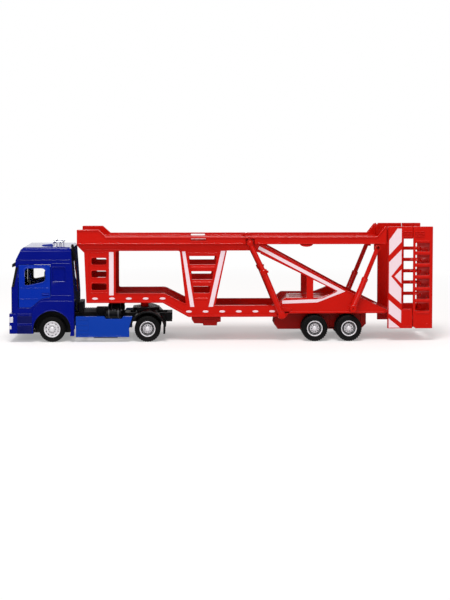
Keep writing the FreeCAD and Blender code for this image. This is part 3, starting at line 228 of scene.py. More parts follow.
def frame_ring(outline, y, width, thick, radius, inward=0.0):
    """A closed flat frame round an opening with rounded corners, lapped inwards a little."""
    path = side_path(round_corners(outline, radius), y)
    section = bar_section(width, thick, min(thick, width) * 0.4) + (width / 2 - inward, 0)
    area = np.cross(np.roll(path, -1, 0) - path, path).sum(0) @ LEFT
    return swept(path, section * ((1 if area > 0 else -1), 1), LEFT, True)


def slab(low, high, edge):
    """A block between two corners with all its edges rounded: rings of (y, how far moved in)."""
    (x0, y0, z0), (x1, y1, z1) = low, high
    outline = round_corners(rectangle(x0, z0, x1, z1), edge, steps=3)
    turn = edge * 0.3
    rings = np.array([(y0, edge), (y0 + turn, turn), (y0 + edge, 0),
                      (y1 - edge, 0), (y1 - turn, turn), (y1, edge)])
    centre = np.array(((x0 + x1) / 2, (z0 + z1) / 2))
    half = np.array(((x1 - x0) / 2, (z1 - z0) / 2))
    shrink = 1 - rings[:, 1, None] / half
    flat = centre + (outline - centre)[None] * shrink[:, None]
    points = np.stack([flat[..., 0], np.broadcast_to(rings[:, :1], flat.shape[:2]), flat[..., 1]], -1)
    return points.reshape(-1, 3), capped(len(rings), len(outline))


def turned(profile, start, direction, steps, looped=False, dent=None):
    """A profile turned about a line: point(i, t) = start + along_i d + radius_i (cos t u + sin t v).
    dent(i, t) is taken from the radius where it is given."""
    profile = np.asarray(profile, float)
    d = unit(direction)
    u = unit(np.cross(d, ASKEW))
    v = np.cross(d, u)
    t = np.linspace(0, 2 * np.pi, steps, endpoint=False)
    ring = np.cos(t)[:, None] * u + np.sin(t)[:, None] * v
    radius = np.repeat(profile[:, :1], steps, 1)
    if dent is not None:
        radius = radius - dent(profile, t)
    points = np.asarray(start) + profile[:, 1, None, None] * d + radius[..., None] * ring[None]
    return points.reshape(-1, 3), [quads(len(profile), steps, looped, True)]


def dome(middle, radius, height, direction, steps=14):
    """A flattened half ball: radius cos a, height sin a."""
    a = np.linspace(0, np.pi / 2, 5)
    profile = np.stack([radius * np.cos(a), height * np.sin(a)], -1)
    foot = [(0, -DOME_SUNK), (radius, -DOME_SUNK)]
    return turned(np.concatenate([foot, profile]), middle, direction, steps)


def hex_nut(middle, across, height, direction):
    """A six-sided nut with a chamfered top."""
    profile = [(0, -DOME_SUNK), (across / 2, -DOME_SUNK), (across / 2, height * 0.7),
               (across * 0.38, height), (0, height)]
    return turned(profile, middle, direction, 6)


# ---- materials -----------------------------------------------------------------------------

def linear(code):
    """An sRGB hex colour as linear RGBA."""
    part = np.array([int(code[at:at + 2], 16) for at in (1, 3, 5)]) / 255
    return (*np.where(part <= 0.04045, part / 12.92, ((part + 0.055) / 1.055) ** 2.4), 1.0)


def per_metre(size_mm):
    """Texture scale at which one feature is that many millimetres."""
    return 1 / (size_mm * MM)


def add(tree, kind, inputs=None, **settings):
    """Adds one node, with its settings, and its inputs set or linked."""
    made = tree.nodes.new(kind)
    for name, setting in settings.items():
        setattr(made, name, setting)
    for socket, value in (inputs or {}).items():
        if isinstance(value, bpy.types.NodeSocket):
            tree.links.new(value, made.inputs[socket])
        else:
            made.inputs[socket].default_value = value
    return made


def new_material(name):
    """An empty material, its tree and its object coordinates."""
    material = bpy.data.materials.new(name)
    material.use_nodes = True
    tree = material.node_tree
    tree.nodes.clear()
    place = add(tree, "ShaderNodeTexCoord").outputs["Object"]
    return material, tree, place


def close(tree, shader):
    """Ends a material's tree with its shader."""
    add(tree, "ShaderNodeOutputMaterial", {"Surface": shader.outputs[0]})


def surface(name, colour, roughness, drift=0.05, drift_mm=11.0, grain_mm=0.45, grain_depth_mm=0.002,
            roughness_span=0.08, **shader_inputs):
    """A finish with a colour that drifts a little, uneven gloss and a fine grain.
    drift is how far the colour strays each way, and each pattern has a size in millimetres."""
    material, tree, place = new_material(name)
    flow = add(tree, "ShaderNodeTexNoise", {
        "Vector": place, "Scale": per_metre(drift_mm), "Detail": 3.0})
    base = np.array(linear(colour)[:3])
    paint = add(tree, "ShaderNodeMix", {
        "Factor": flow.outputs["Fac"], "A": (*base * (1 - drift), 1.0),
        "B": (*np.minimum(base * (1 + drift), 1), 1.0)}, data_type="RGBA")
    grain = add(tree, "ShaderNodeTexNoise", {
        "Vector": place, "Scale": per_metre(grain_mm), "Detail": 2.0})
    gloss = add(tree, "ShaderNodeMapRange", {
        "Value": flow.outputs["Fac"], "From Min": 0.3, "From Max": 0.7,
        "To Min": roughness - roughness_span / 2, "To Max": roughness + roughness_span / 2})
    bump = add(tree, "ShaderNodeBump", {
        "Height": grain.outputs["Fac"], "Distance": grain_depth_mm * MM, "Strength": 0.6})
    shader = add(tree, "ShaderNodeBsdfPrincipled", {
        "Base Color": paint.outputs[2], "Roughness": gloss.outputs[0], "Normal": bump.outputs[0],
        **shader_inputs})
    close(tree, shader)
    return material


def coated(index, specular, coat, coat_roughness):
    """Shader inputs of a finish under a smooth clear coat."""
    return {"IOR": index, "Specular IOR Level": specular, "Coat Weight": coat,
            "Coat Roughness": coat_roughness}


# ABS from a polished mould: deep colour, soft sheen, sharp highlights on the rounded edges.
RED_ABS = surface("red_moulded_abs", "#C00F03", 0.34, drift=0.06, **coated(1.46, 0.1, 0.5, 0.08))
# The same ABS under the deck, painted a shade deeper as the shade that falls there, and less glossy.
SHADED_RED_ABS = surface("shaded_red_moulded_abs", "#940B04", 0.36, drift=0.07, grain_mm=0.6,
                       **coated(1.46, 0.1, 0.3, 0.14))
# Painted cab casting: navy enamel, glossy with a faint orange peel.
CAB_ENAMEL = surface("navy_blue_enamel", "#020F78", 0.20, grain_mm=0.7,
                     **coated(1.5, 0.08, 0.75, 0.05))
# Door castings: the same enamel, brighter.
DOOR_ENAMEL = surface("royal_blue_enamel", "#042A9C", 0.20, grain_mm=0.7,
                      **coated(1.5, 0.08, 0.75, 0.05))
# The cab's step wells: painted shade, the same enamel much darker.
STEP_SHADE_ENAMEL = surface("shaded_navy_enamel", "#040C54", 0.3, **{"Specular IOR Level": 0.2})
# Skirts are self-coloured ABS, flatter and brighter than the enamel.
SKIRT_ABS = surface("bright_blue_abs", "#04389E", 0.36, drift=0.04, **coated(1.46, 0.1, 0.4, 0.1))
# Black polypropylene: satin, with the grain of a spark-eroded mould.
BLACK_PP = surface("black_grained_polypropylene", "#101012", 0.46, drift=0.12, grain_mm=0.35,
                   grain_depth_mm=0.012, **{"IOR": 1.49, "Specular IOR Level": 0.2})
# Flat black for the inside trim, and painted shade on the cab's inner faces, so the cab reads as deep, and
# in the wheels' vent holes and dishes.
BLACK_TRIM_AND_SHADE = surface("flat_black_trim_and_shade", "#0C0C0E", 0.7, drift=0.15, grain_mm=0.5)
# Grey polypropylene of the gearbox.
GREY_PP = surface("grey_polypropylene", "#4A4A4E", 0.5, drift=0.1, grain_mm=0.4, **{"IOR": 1.49})
# Silver paint over plastic: fine flakes make a soft metallic sheen.
SILVER_PAINT = surface("silver_flake_paint", "#E6E4E8", 0.34, drift=0.08, drift_mm=1.4, grain_mm=0.2,
                       grain_depth_mm=0.006, **{"Metallic": 0.2})
# Vacuum plating on plastic: a mirror with slight waves.
CHROME = surface("vacuum_chrome", "#D4D5D8", 0.09, drift=0.03, drift_mm=2.2, roughness_span=0.06,
                 grain_mm=0.9, **{"Metallic": 1.0})
# Silvered lamp bowls: bright, almost white, with a hard highlight.
LAMP_SILVER = surface("silvered_lamp", "#E9E9EE", 0.12, drift=0.04, drift_mm=1.2, **{"Metallic": 0.25})
# Drawn steel wire of the axles.
STEEL = surface("drawn_steel", "#8C8C8E", 0.34, drift=0.1, grain_mm=0.15, **{"Metallic": 1.0})
# White vinyl film: flat, faintly warm, with a little unevenness from the squeegee.
WHITE_VINYL = surface("white_vinyl_film", "#E8D0D7", 0.42, drift=0.03, drift_mm=3.0,
                      **{"IOR": 1.5, "Specular IOR Level": 0.35})
# Soft PVC of the tyres: matt, with an uneven, dusty tone.
TYRE_PVC = surface("soft_black_pvc", "#0D0C0D", 0.66, drift=0.25, drift_mm=1.8, grain_mm=0.3,
                   grain_depth_mm=0.02, roughness_span=0.16,
                   **{"IOR": 1.52, "Specular IOR Level": 0.15})


# Far below styrene's own 1.59, so that the panes bend and mirror little of the pale room.
PANE_INDEX = 1.15


def clear_plastic(name, tint, roughness):
    """Injection-moulded clear styrene: see-through, with faint ripples that bend the view."""
    material, tree, place = new_material(name)
    ripple = add(tree, "ShaderNodeTexNoise", {"Vector": place, "Scale": per_metre(4.0), "Detail": 1.0})
    bump = add(tree, "ShaderNodeBump", {
        "Height": ripple.outputs["Fac"], "Distance": 0.01 * MM, "Strength": 0.4})
    shader = add(tree, "ShaderNodeBsdfPrincipled", {
        "Base Color": linear(tint), "Roughness": roughness, "Normal": bump.outputs[0],
        "Transmission Weight": 1.0, "IOR": PANE_INDEX})
    close(tree, shader)
    return material


CLEAR_STYRENE = clear_plastic("clear_styrene", "#FCFCFC", 0.02)
SMOKED_STYRENE = clear_plastic("smoked_styrene", "#1A1C22", 0.05)


# ---- pieces --------------------------------------------------------------------------------

# Points nearer than this become one: in what is made here, and in a CAD node's mesh.
WELD_M = 1e-7
CAD_WELD_M = 2e-6


def piece(name, solid, finish, body, sharp_deg=38):
    """A piece made from a solid, on a body."""
    points, sets = solid
    mesh = bpy.data.meshes.new(name)
    mesh.from_pydata((points * MM).tolist(), [], [face for faces in sets for face in faces.tolist()])
    form = bmesh.new()
    form.from_mesh(mesh)
    bmesh.ops.remove_doubles(form, verts=form.verts, dist=WELD_M)
    bmesh.ops.recalc_face_normals(form, faces=form.faces)
    form.to_mesh(mesh)
    form.free()
    return placed(name, mesh, finish, body, sharp_deg)


def placed(name, mesh, finish, body, sharp_deg):
    """A mesh as an object with its finish, on its body and in its material slot."""
    mesh.materials.append(finish)
    mesh.shade_smooth()
    mesh.set_sharp_from_angle(angle=math.radians(sharp_deg))
    made = bpy.data.objects.new(name, mesh)
    bpy.context.collection.objects.link(made)
    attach(made, body)
    return made


# Round parts have facets that turn by up to 12 degrees; a sharper turn is an edge.
CREASE_DEG = 14


def moulding(node, finish, edge):
    """A merged copy of a CAD node with its edges rounded, which stands for the node."""
    mesh = bpy.data.meshes.new(f"{node}_moulding")
    form = bmesh.new()
    form.from_mesh(frame["nodes"][node].data)
    bmesh.ops.remove_doubles(form, verts=form.verts, dist=CAD_WELD_M)
    form.to_mesh(mesh)
    form.free()
    made = placed(f"{node}_moulding", mesh, finish, BODY_OF[node], CREASE_DEG)
    rounding = made.modifiers.new("Rounded edges", "BEVEL")
    rounding.width = edge * MM
    rounding.segments = 2
    rounding.limit_method = "ANGLE"
    rounding.angle_limit = math.radians(CREASE_DEG)
    rounding.use_clamp_overlap = False
    rounding.harden_normals = True
    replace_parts(made, node)
    return made


# node: (finish, edge radius)
MOULDINGS = {
    "chassis_frame": (BLACK_PP, 0.2), "equipment_box": (BLACK_PP, 0.3), "gearbox_cover": (GREY_PP, 0.4),
    "cab_shell": (CAB_ENAMEL, 0.25), "sun_visor": (BLACK_PP, 0.25), "front_bumper": (CAB_ENAMEL, 0.35),
    "dashboard": (BLACK_TRIM_AND_SHADE, 0.3), "cab_seats": (BLACK_TRIM_AND_SHADE, 0.5), "roof_hatch": (DOOR_ENAMEL, 0.35),
    "drive_mudguards": (BLACK_PP, 0.22), "fifth_wheel": (BLACK_PP, 0.25),
    "side_skirt_left": (SKIRT_ABS, 0.3), "side_skirt_right": (SKIRT_ABS, 0.3),
    "door_left": (DOOR_ENAMEL, 0.22), "door_right": (DOOR_ENAMEL, 0.22),
    "side_frame_left": (RED_ABS, 0.3), "side_frame_right": (RED_ABS, 0.3), "lower_deck": (RED_ABS, 0.25),
    "front_wall": (RED_ABS, 0.3), "kingpin_block": (RED_ABS, 0.3), "upper_deck_front": (RED_ABS, 0.32),
    "upper_deck_rear": (RED_ABS, 0.28), "deck_struts": (RED_ABS, 0.2), "ram_barrels": (RED_ABS, 0.2),
    "ram_rods": (RED_ABS, 0.18), "ram_pins": (RED_ABS, 0.12), "rear_post_left": (RED_ABS, 0.3),
    "rear_post_right": (RED_ABS, 0.3), "tail_floor": (RED_ABS, 0.25), "rear_ramp": (RED_ABS, 0.25),
    # The undercarriage and support block take the red painted darker as their shade.
    "undercarriage": (SHADED_RED_ABS, 0.35), "support_block": (SHADED_RED_ABS, 0.35)}
for node, (finish, edge) in MOULDINGS.items():
    moulding(node, finish, edge)


def paint_cab_inside_shade():
    """Flat black painted on the cab's inner faces as their shade: those that face its middle, inside by a
    wall.
    """
    mesh = bpy.data.objects["cab_shell_moulding"].data
    mesh.materials.append(BLACK_TRIM_AND_SHADE)
    low, high = (corner * MM for corner in box_mm("cab_shell"))
    wall = 1.0 * MM
    centres, normals = np.empty(3 * len(mesh.polygons)), np.empty(3 * len(mesh.polygons))
    mesh.polygons.foreach_get("center", centres)
    mesh.polygons.foreach_get("normal", normals)
    centres, normals = centres.reshape(-1, 3), normals.reshape(-1, 3)
    inward = (((low + high) / 2 - centres) * normals).sum(1) > 0
    clear = (centres > low + wall).all(1) & (centres < high - wall).all(1)
    mesh.polygons.foreach_set("material_index", (inward & clear).astype(np.int32))


paint_cab_inside_shade()

# Nodes whose shape is right keep it and take a finish.
KEPT_NODES = {
    "front_wheel_axle": STEEL, "drive_wheel_axle": STEEL, "trailer_wheel_a_axle": STEEL,
    "trailer_wheel_b_axle": STEEL, "windscreen": SMOKED_STYRENE, "side_window_left": CLEAR_STYRENE,
    "side_window_right": CLEAR_STYRENE, "steering_wheel": BLACK_TRIM_AND_SHADE}
for node, finish in KEPT_NODES.items():
    frame["nodes"][node].material_slots[0].material = finish


# ---- wheels --------------------------------------------------------------------------------

TREAD_LUGS = 34
# Steps round a lug and the gap behind it, of which the gap takes the first two.
TREAD_STEPS = 6
GAP_STEPS = 2
TREAD_DEPTH = 0.45
# Where the groove between the shoulder's lugs and the crown lies, from the tyre's side.
GROOVE_START, GROOVE_END = 2.05, 2.55
TYRE_WIDTH, TWIN_GAP = 6.5, 0.8
DISHED_BORE, FLAT_BORE = 6.3, 6.55
NUTS = 10
DISH_DEPTH = 1.75


def tyre(x, z, outer, radius, bore):
    """A tyre with a rounded shoulder, two grooves round it and lugs across its shoulders."""
    face = np.array([(bore, 0.35), (bore + 0.25, 0.1), (bore + 1.0, 0.02), (bore + 1.15, 0.14),
                     (radius - 1.5, 0.06), (radius - 0.8, 0.18), (radius - 0.32, 0.5), (radius, 0.95)])
    tread = np.array([(radius, share) for share in (1.55, 2.0, 2.1, 2.5, 2.6, 2.95)])
    half = np.concatenate([face, tread])
    profile = np.concatenate([half, np.stack([half[::-1, 0], TYRE_WIDTH - half[::-1, 1]], -1)])

    def dent(rows, t):
        """Depth of the pattern: in both grooves, and in the gaps between the shoulders' lugs."""
        along = rows[:, 1, None]
        on_tread = rows[:, :1] > radius - 0.4
        side = np.minimum(along, TYRE_WIDTH - along)
        groove = (side > GROOVE_START) & (side < GROOVE_END)
        step = np.round(t / (2 * np.pi) * TREAD_LUGS * TREAD_STEPS).astype(int) % TREAD_STEPS
        gap = (step[None] < GAP_STEPS) & (side < GROOVE_START)
        return TREAD_DEPTH * on_tread * (groove | gap)

    return turned(profile, (x, -outer, z), (0, 1, 0), TREAD_LUGS * TREAD_STEPS, True, dent)


def around(count, middle, radius, y, turn=0.0):
    """Places on a circle in the plane at y."""
    t = np.linspace(0, 2 * np.pi, count, endpoint=False) + turn
    x, z = middle[0] + radius * np.cos(t), middle[1] + radius * np.sin(t)
    return np.stack([x, np.full(count, y), z], -1)


def rim(x, z, outer, inner, radius, dished):
    """A wheel: a rolled lip, a barrel and a disc that stands proud or lies deep, closed at the back."""
    depth = DISH_DEPTH + 0.3 if dished else 0.1
    lip = [(radius, 0.5), (radius, 0.12), (radius - 0.2, 0.0), (radius - 0.5, 0.0), (radius - 0.65, 0.22)]
    disc = ([(radius - 0.85, 0.9), (radius - 1.1, 2.0), (radius - 1.9, depth + 0.9), (4.0, depth + 0.9),
             (3.85, depth - 0.1), (3.6, depth - 0.3), (1.75, depth - 0.3), (1.6, depth - 1.3),
             (1.3, depth - 1.6), (0, depth - 1.7)] if dished else
            [(radius - 1.0, 1.1), (radius - 1.3, 1.3), (radius - 1.8, 0.5), (3.9, 0.1), (3.6, 0.45),
             (1.9, 0.5), (1.75, -0.2), (1.4, -0.5), (0, -0.55)])
    front = np.array(lip + disc)[::-1]
    back = np.array([(radius, inner - 0.2), (radius - 0.7, inner - 0.2), (radius - 0.9, depth + 2.6),
                     (0, depth + 2.6)])
    return turned(np.concatenate([front, back]), (x, -outer, z), (0, 1, 0), 64)


def wheel_set(name, node, twin, dished):
    """Tyres, rims, nuts, black dots as painted shade in the vent holes and a black ring as painted shade in
    the dishes, of one axle, both sides.
    """
    low, high = box_mm(f"{node}_tyres")
    body = BODY_OF[f"{node}_tyres"]
    x, z, outer = (low[0] + high[0]) / 2, (low[2] + high[2]) / 2, high[1]
    radius = (high[2] - low[2]) / 2
    bore = DISHED_BORE if dished else FLAT_BORE
    starts = [outer, outer - TYRE_WIDTH - TWIN_GAP] if twin else [outer]
    tyres = both_sides(*[tyre(x, z, start, radius, bore) for start in starts])
    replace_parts(piece(f"{name}_tyres", tyres, TYRE_PVC, body, 30), f"{node}_tyres")
    span = 2 * TYRE_WIDTH + TWIN_GAP if twin else TYRE_WIDTH
    rims = both_sides(rim(x, z, outer - 0.15, span, bore - 0.05, dished))
    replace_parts(piece(f"{name}_rims", rims, SILVER_PAINT, body, 30), f"{node}_rims")
    face = (DISH_DEPTH - 0.15 if dished else 0.35) - outer
    nuts = [hex_nut(spot, 0.85, 0.55, LEFT) for spot in around(NUTS, (x, z), 2.75, face)]
    piece(f"{name}_nuts", both_sides(*nuts), CHROME, body, 30)
    # Black dots stand for the vent holes: painted shade.
    vent_y, vent_at = (DISH_DEPTH + 1.02 - outer, 4.4) if dished else (0.42 - outer, 4.85)
    vents = [dome(spot, 0.4, 0.16, LEFT, 10) for spot in around(NUTS, (x, z), vent_at, vent_y, 0.31)]
    piece(f"{name}_vents", both_sides(*vents), BLACK_TRIM_AND_SHADE, body, 30)
    # A black ring in each dish: painted shade of its deep hollow.
    if dished:
        deep, back = DISH_DEPTH + 1.05 - outer, DISH_DEPTH + 1.2 - outer
        shade = turned([(bore - 1.15, 0.9 - outer), (bore - 1.0, 0.9 - outer), (bore - 1.25, deep - 0.6),
                        (bore - 1.6, deep), (4.05, deep), (4.05, back), (bore - 1.5, back),
                        (bore - 1.4, deep - 0.6)], (x, 0, z), (0, 1, 0), 64, True)
        piece(f"{name}_dish_shade", both_sides(shade), BLACK_TRIM_AND_SHADE, body, 30)


for name, node, twin, dished in (
        ("front_wheels", "front_wheel", False, False), ("drive_wheels", "drive_wheel", True, True),
        ("trailer_wheels_a", "trailer_wheel_a", True, True),
        ("trailer_wheels_b", "trailer_wheel_b", True, True)):
    wheel_set(name, node, twin, dished)


# ---- tractor -------------------------------------------------------------------------------

CAB_LOW, CAB_HIGH = box_mm("cab_shell")
CAB_SIDE = CAB_LOW[1]
WHEEL_LOW, WHEEL_HIGH = box_mm("front_wheel_tyres")
AXLE = ((WHEEL_LOW + WHEEL_HIGH) / 2)[[0, 2]]
AXLE_X, AXLE_Z = AXLE
ARCH = 15.0
DOOR_LOW, DOOR_HIGH = box_mm("door_left")
# The two treads under the door: their heights, and how far each reaches along the cab.
STEP_ROWS = (22.8, 14.9)
STEP_FRONT, STEP_REAR = CAB_LOW[0] + 5.2, AXLE_X - ARCH - 1.0


def arc(middle, radius, start_deg, end_deg, steps):
    """(x, z) places on an arc."""
    a = np.radians(np.linspace(start_deg, end_deg, steps))
    return np.stack([middle[0] + radius * np.cos(a), middle[1] + radius * np.sin(a)], -1)


def fender():
    """The raised panel over the wheel arch, from the step to the cab's rear edge."""
    rear = CAB_HIGH[0] - 0.25
    top = [(rear, AXLE_Z), (rear, 33.4), (AXLE_X - 9.2, 33.4), (AXLE_X - 15.9, 25.0),
           (AXLE_X - 15.9, AXLE_Z)]
    outline = np.concatenate([round_corners(top, 2.2, closed=False), arc(AXLE, ARCH, 180, 0, 32)])
    return plate(outline, CAB_SIDE, 0.45, 0.3)


def arch_lip():
    """A rolled lip round the arch."""
    return side_run(arc(AXLE, ARCH + 0.3, 0, 180, 40), CAB_SIDE - 0.4, half_round(0.7, 0.3, 0.3))


def arch_liner():
    """The black shell inside the arch, and the wall behind the wheel with a notch for the axle."""
    outer, inner = arc(AXLE, ARCH - 0.02, 2, 178, 36), arc(AXLE, ARCH - 0.5, 178, 2, 36)
    foot, notch = 6.6, 2.6
    wall = np.concatenate([[(AXLE_X + ARCH, foot)], arc(AXLE, ARCH, 0, 180, 36),
                           [(AXLE_X - ARCH, foot), (AXLE_X - notch, foot)],
                           arc(AXLE, notch, 180, 0, 12), [(AXLE_X + notch, foot)]])
    return joined(plate(np.concatenate([outer, inner]), CAB_SIDE + 8.6, 8.2, 0.1),
                  plate(wall, CAB_SIDE + 8.9, 0.5, 0.1))


def cab_lines():
    """Moulded lines of the cab's side: the brow's seam, the sleeper panel and its framed recess."""
    seam, panel = 65.9, (DOOR_HIGH[0] + 0.7, CAB_HIGH[0] - 3.2)
    return [bead([(CAB_LOW[0] + 5.4, seam), (CAB_HIGH[0] - 3.4, seam)], CAB_SIDE, 0.55, 0.22),
            bead([(panel[0], 63.2), (panel[1], 63.2)], CAB_SIDE, 0.45, 0.2),
            bead([(panel[0], 37.6), (panel[1] + 1.0, 37.6)], CAB_SIDE, 0.45, 0.2),
            frame_ring(rectangle(-134.9, 48.6, -124.8, 60.2), CAB_SIDE, 0.55, 0.22, 1.0)]


def cab_steps():
    """Two treads below the door, each a bar with a thin line under it."""
    bars = [side_run([(STEP_FRONT, z), (STEP_REAR, z)], CAB_SIDE, bar_section(0.9, 0.5, 0.25))
            for z in STEP_ROWS]
    lines = [bead([(STEP_FRONT, z - 1.4), (STEP_REAR, z - 1.4)], CAB_SIDE, 0.4, 0.18)
             for z in STEP_ROWS]
    return bars + lines


def painted_step_shade():
    """Darker fields below the treads: painted shade of the step wells."""
    return [plate(rectangle(STEP_FRONT, low, STEP_REAR, high), CAB_SIDE, 0.05, 0.02)
            for low, high in ((15.6, 21.2), (7.4, 13.3))]


piece("cab_step_painted_shade", both_sides(*painted_step_shade()), STEP_SHADE_ENAMEL, "tractor")
piece("cab_side_lines", both_sides(*cab_lines(), *cab_steps()), CAB_ENAMEL, "tractor")
piece("cab_fenders", both_sides(fender(), arch_lip()), CAB_ENAMEL, "tractor")
piece("arch_liners", both_sides(arch_liner()), BLACK_PP, "tractor")


def door_trim(body, on_right):
    """Window frame and seal, two creases, the handle and its hollow, for one door."""
    pane = [(-157.0, 45.8), (-154.5, 45.8), (-140.3, 48.8), (-140.3, 59.5), (-157.0, 59.5)]
    window = frame_ring(pane, CAB_SIDE, 1.3, 0.2, 3.2, inward=0.1)
    crease = bead([(DOOR_LOW[0] + 1.0, 34.9), (AXLE_X - 10.4, 34.9)], CAB_SIDE, 0.5, 0.22)
    high_crease = bead([(DOOR_LOW[0] + 1.0, 43.6), (DOOR_HIGH[0] - 0.8, 43.6)], CAB_SIDE, 0.35, 0.14)
    handle = side_run([(-142.9, 38.6), (-137.9, 38.6)], CAB_SIDE, bar_section(1.0, 0.55, 0.3))
    solid = joined(window, crease, high_crease, handle)
    hollow = plate(round_corners(rectangle(-143.4, 37.3, -137.5, 39.7), 0.8), CAB_SIDE, 0.06, 0.03)
    seal = frame_ring(pane, CAB_SIDE + 1.5, 1.5, 0.35, 2.4, inward=0.1)
    if on_right:
        solid, hollow, seal = mirrored(solid), mirrored(hollow), mirrored(seal)
    piece(f"{body}_trim", solid, DOOR_ENAMEL, body)
    piece(f"{body}_handle_hollow", hollow, CAB_ENAMEL, body)
    piece(f"{body}_window_seal", seal, BLACK_TRIM_AND_SHADE, body)


door_trim("door_left", False)
door_trim("door_right", True)

# The windscreen's slope: heights of its foot and head, its foot's place and how far it leans.
SCREEN_FOOT_Z, SCREEN_HEAD_Z = 44.6, 60.3
SCREEN_X, SCREEN_LEAN = -167.4, 3.3


def screen_point(height, out):
    """A place on the windscreen's slope at a height, out by a distance along -X."""
    share = (height - SCREEN_FOOT_Z) / (SCREEN_HEAD_Z - SCREEN_FOOT_Z)
    return SCREEN_X + share * SCREEN_LEAN - out


def visor_hood():
    """The deep front edge of the sun visor, across the cab."""
    outline = round_corners([(-164.3, 64.2), (-164.3, 61.0), (-167.5, 59.7), (-167.5, 62.4)], 0.5)
    return plate(outline, 21.2, 42.4, 0.3)


def wipers():
    """Two wipers that lie on the windscreen, each one bent rod."""
    solids = []
    for foot, tip in (((-4.0, 45.4), (-16.5, 54.0)), ((13.0, 45.4), (1.0, 54.5))):
        elbow = ((foot[0] + tip[0]) / 2, (foot[1] + tip[1]) / 2)
        path = [(screen_point(z, out), y, z)
                for (y, z), out in ((foot, 0.35), (elbow, 0.55), (tip, 0.4))]
        solids.append(swept(path, half_round(0.5, 0.35, 0.15), FORWARD))
    return joined(*solids)


def screen_pillars():
    """Black posts that wrap round the windscreen's edges and show on the cab's sides."""
    front = [(screen_point(z, 0.0) + 0.1, z) for z in (SCREEN_FOOT_Z, SCREEN_HEAD_Z)]
    back = [(x + 2.0, z) for x, z in front[::-1]]
    return both_sides(plate(front + back, CAB_SIDE + 0.9, 1.0, 0.15))


piece("visor_hood", visor_hood(), BLACK_PP, "tractor")
piece("wipers", wipers(), BLACK_PP, "tractor")
piece("windscreen_pillars", screen_pillars(), BLACK_PP, "tractor")


def grille():
    """A framed grille of five rounded bars across the nose, with a thin plate behind them."""
    low, high = box_mm("front_grille")
    face = high[0]
    edge = [(face, y, z) for y, z in rectangle(low[1] + 0.6, low[2] + 0.6, high[1] - 0.6, high[2] - 0.6)]
    border = swept(edge, bar_section(1.2, 0.7, 0.25), FORWARD, True)
    rows = np.linspace(low[2] + 2.4, high[2] - 2.4, 5)
    bars = [swept([(face, low[1] + 0.8, z), (face, high[1] - 0.8, z)], half_round(1.5, 0.65), FORWARD)
            for z in rows]
    backing = slab((face - 0.15, low[1] + 0.5, low[2] + 0.5),
                   (face, high[1] - 0.5, high[2] - 0.5), 0.05)
    return joined(border, *bars, backing)


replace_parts(piece("front_grille_bars", grille(), BLACK_PP, "tractor"), "front_grille")


def lamp_shell(low, high, side_reach):
    """A lamp that wraps round the bumper's corner: its plan is an L with a rounded corner."""
    front, side, inner = CAD_LOW[0] / MM + 0.05, -CAB_SIDE, 14.6
    outline = round_corners([(front, inner), (front, side + 0.12), (front + side_reach, side + 0.12),
                             (front + side_reach, side - 0.5), (front + 0.6, side - 0.6),
                             (front + 0.6, inner)], 0.35, steps=3)
    rings = np.array([(low, 0.94), (low + 0.25, 1.0), (high - 0.25, 1.0), (high, 0.94)])
    centre = outline.mean(0)
    flat = centre + (outline - centre)[None] * rings[:, 1, None, None]
    points = np.stack([flat[..., 0], -flat[..., 1], np.broadcast_to(rings[:, :1], flat.shape[:2])], -1)
    return points.reshape(-1, 3), capped(len(rings), len(outline))


BUMPER_X = box_mm("front_bumper")[0][0]


def bumper_slats():
    """Three flat slats across the bumper's front."""
    return joined(*[crossbar(BUMPER_X + 0.05, 12.5, z, half_round(0.8, 0.05), FORWARD)
                    for z in (9.2, 10.8, 12.4)])


def blank_plate():
    """A number plate without a number."""
    x = BUMPER_X + 0.02
    return slab((x - 0.02, -6.0, 15.6), (x + 0.3, 6.0, 18.6), 0.02)


lamps = both_sides(lamp_shell(16.0, 20.6, 3.0), lamp_shell(10.6, 13.4, 1.7))
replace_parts(piece("head_lamps_shell", lamps, LAMP_SILVER, "tractor"), "head_lamps")
piece("bumper_slats", bumper_slats(), BLACK_PP, "tractor")
piece("blank_number_plate", blank_plate(), WHITE_VINYL, "tractor")


def horns():
    """Twin trumpets on the roof: a throat that opens to a bell, on two feet each."""
    low, high = box_mm("roof_horns")
    bell = [(0, 0.9), (0.9, 0.7), (1.1, 0.1), (1.25, 0.0), (1.25, 0.2), (0.85, 1.3), (0.6, 3.0),
            (0.5, 5.2), (0.75, 5.4), (0.75, 7.1), (0.55, 7.35), (0, 7.35)]
    solids = []
    for y in (-9.0, 9.0):
        solids.append(turned(bell, (low[0], y, high[2] - 1.3), REARWARD, 24))
        for x in (low[0] + 2.6, low[0] + 5.9):
            solids.append(slab((x, y - 0.7, low[2] - 0.05), (x + 0.7, y + 0.7, high[2] - 1.5), 0.15))
    return joined(*solids)


def stack_pipe():
    """The slanted exhaust: a chrome pipe with two bands, and a black shield above with two clips."""
    foot, head = np.array((-115.9, -20.0, 41.5)), np.array((-119.5, -20.0, 78.2))
    along = head - foot
    length = np.linalg.norm(along)
    chrome = [(0, -0.4), (0.95, -0.4), (1.1, 0.0), (1.1, 18.2), (0.8, 18.8), (0.72, 19.0),
              (0.72, length - 13), (0, length - 13)]
    pipe = turned(chrome, foot, along, 24)
    shield = [(0, length - 13.2), (0.9, length - 13.2), (1.1, length - 12.8), (1.1, length - 1.0),
              (0.8, length - 0.2), (0.55, length), (0.4, length), (0.4, length - 1.4), (0, length - 1.4)]
    bands = [turned([(1.0, at), (1.32, at + 0.1), (1.32, at + 0.8), (1.0, at + 0.9)], foot, along, 24, True)
             for at in (3.0, 15.0)]
    clips = [slab((-121.6 + at * 0.4, -20.6, z), (-116.6 - at, -19.4, z + 1.4), 0.2)
             for z, at in ((44.2, 0.0), (61.7, 1.4))]
    return joined(pipe, *bands), joined(turned(shield, foot, along, 24), *clips)


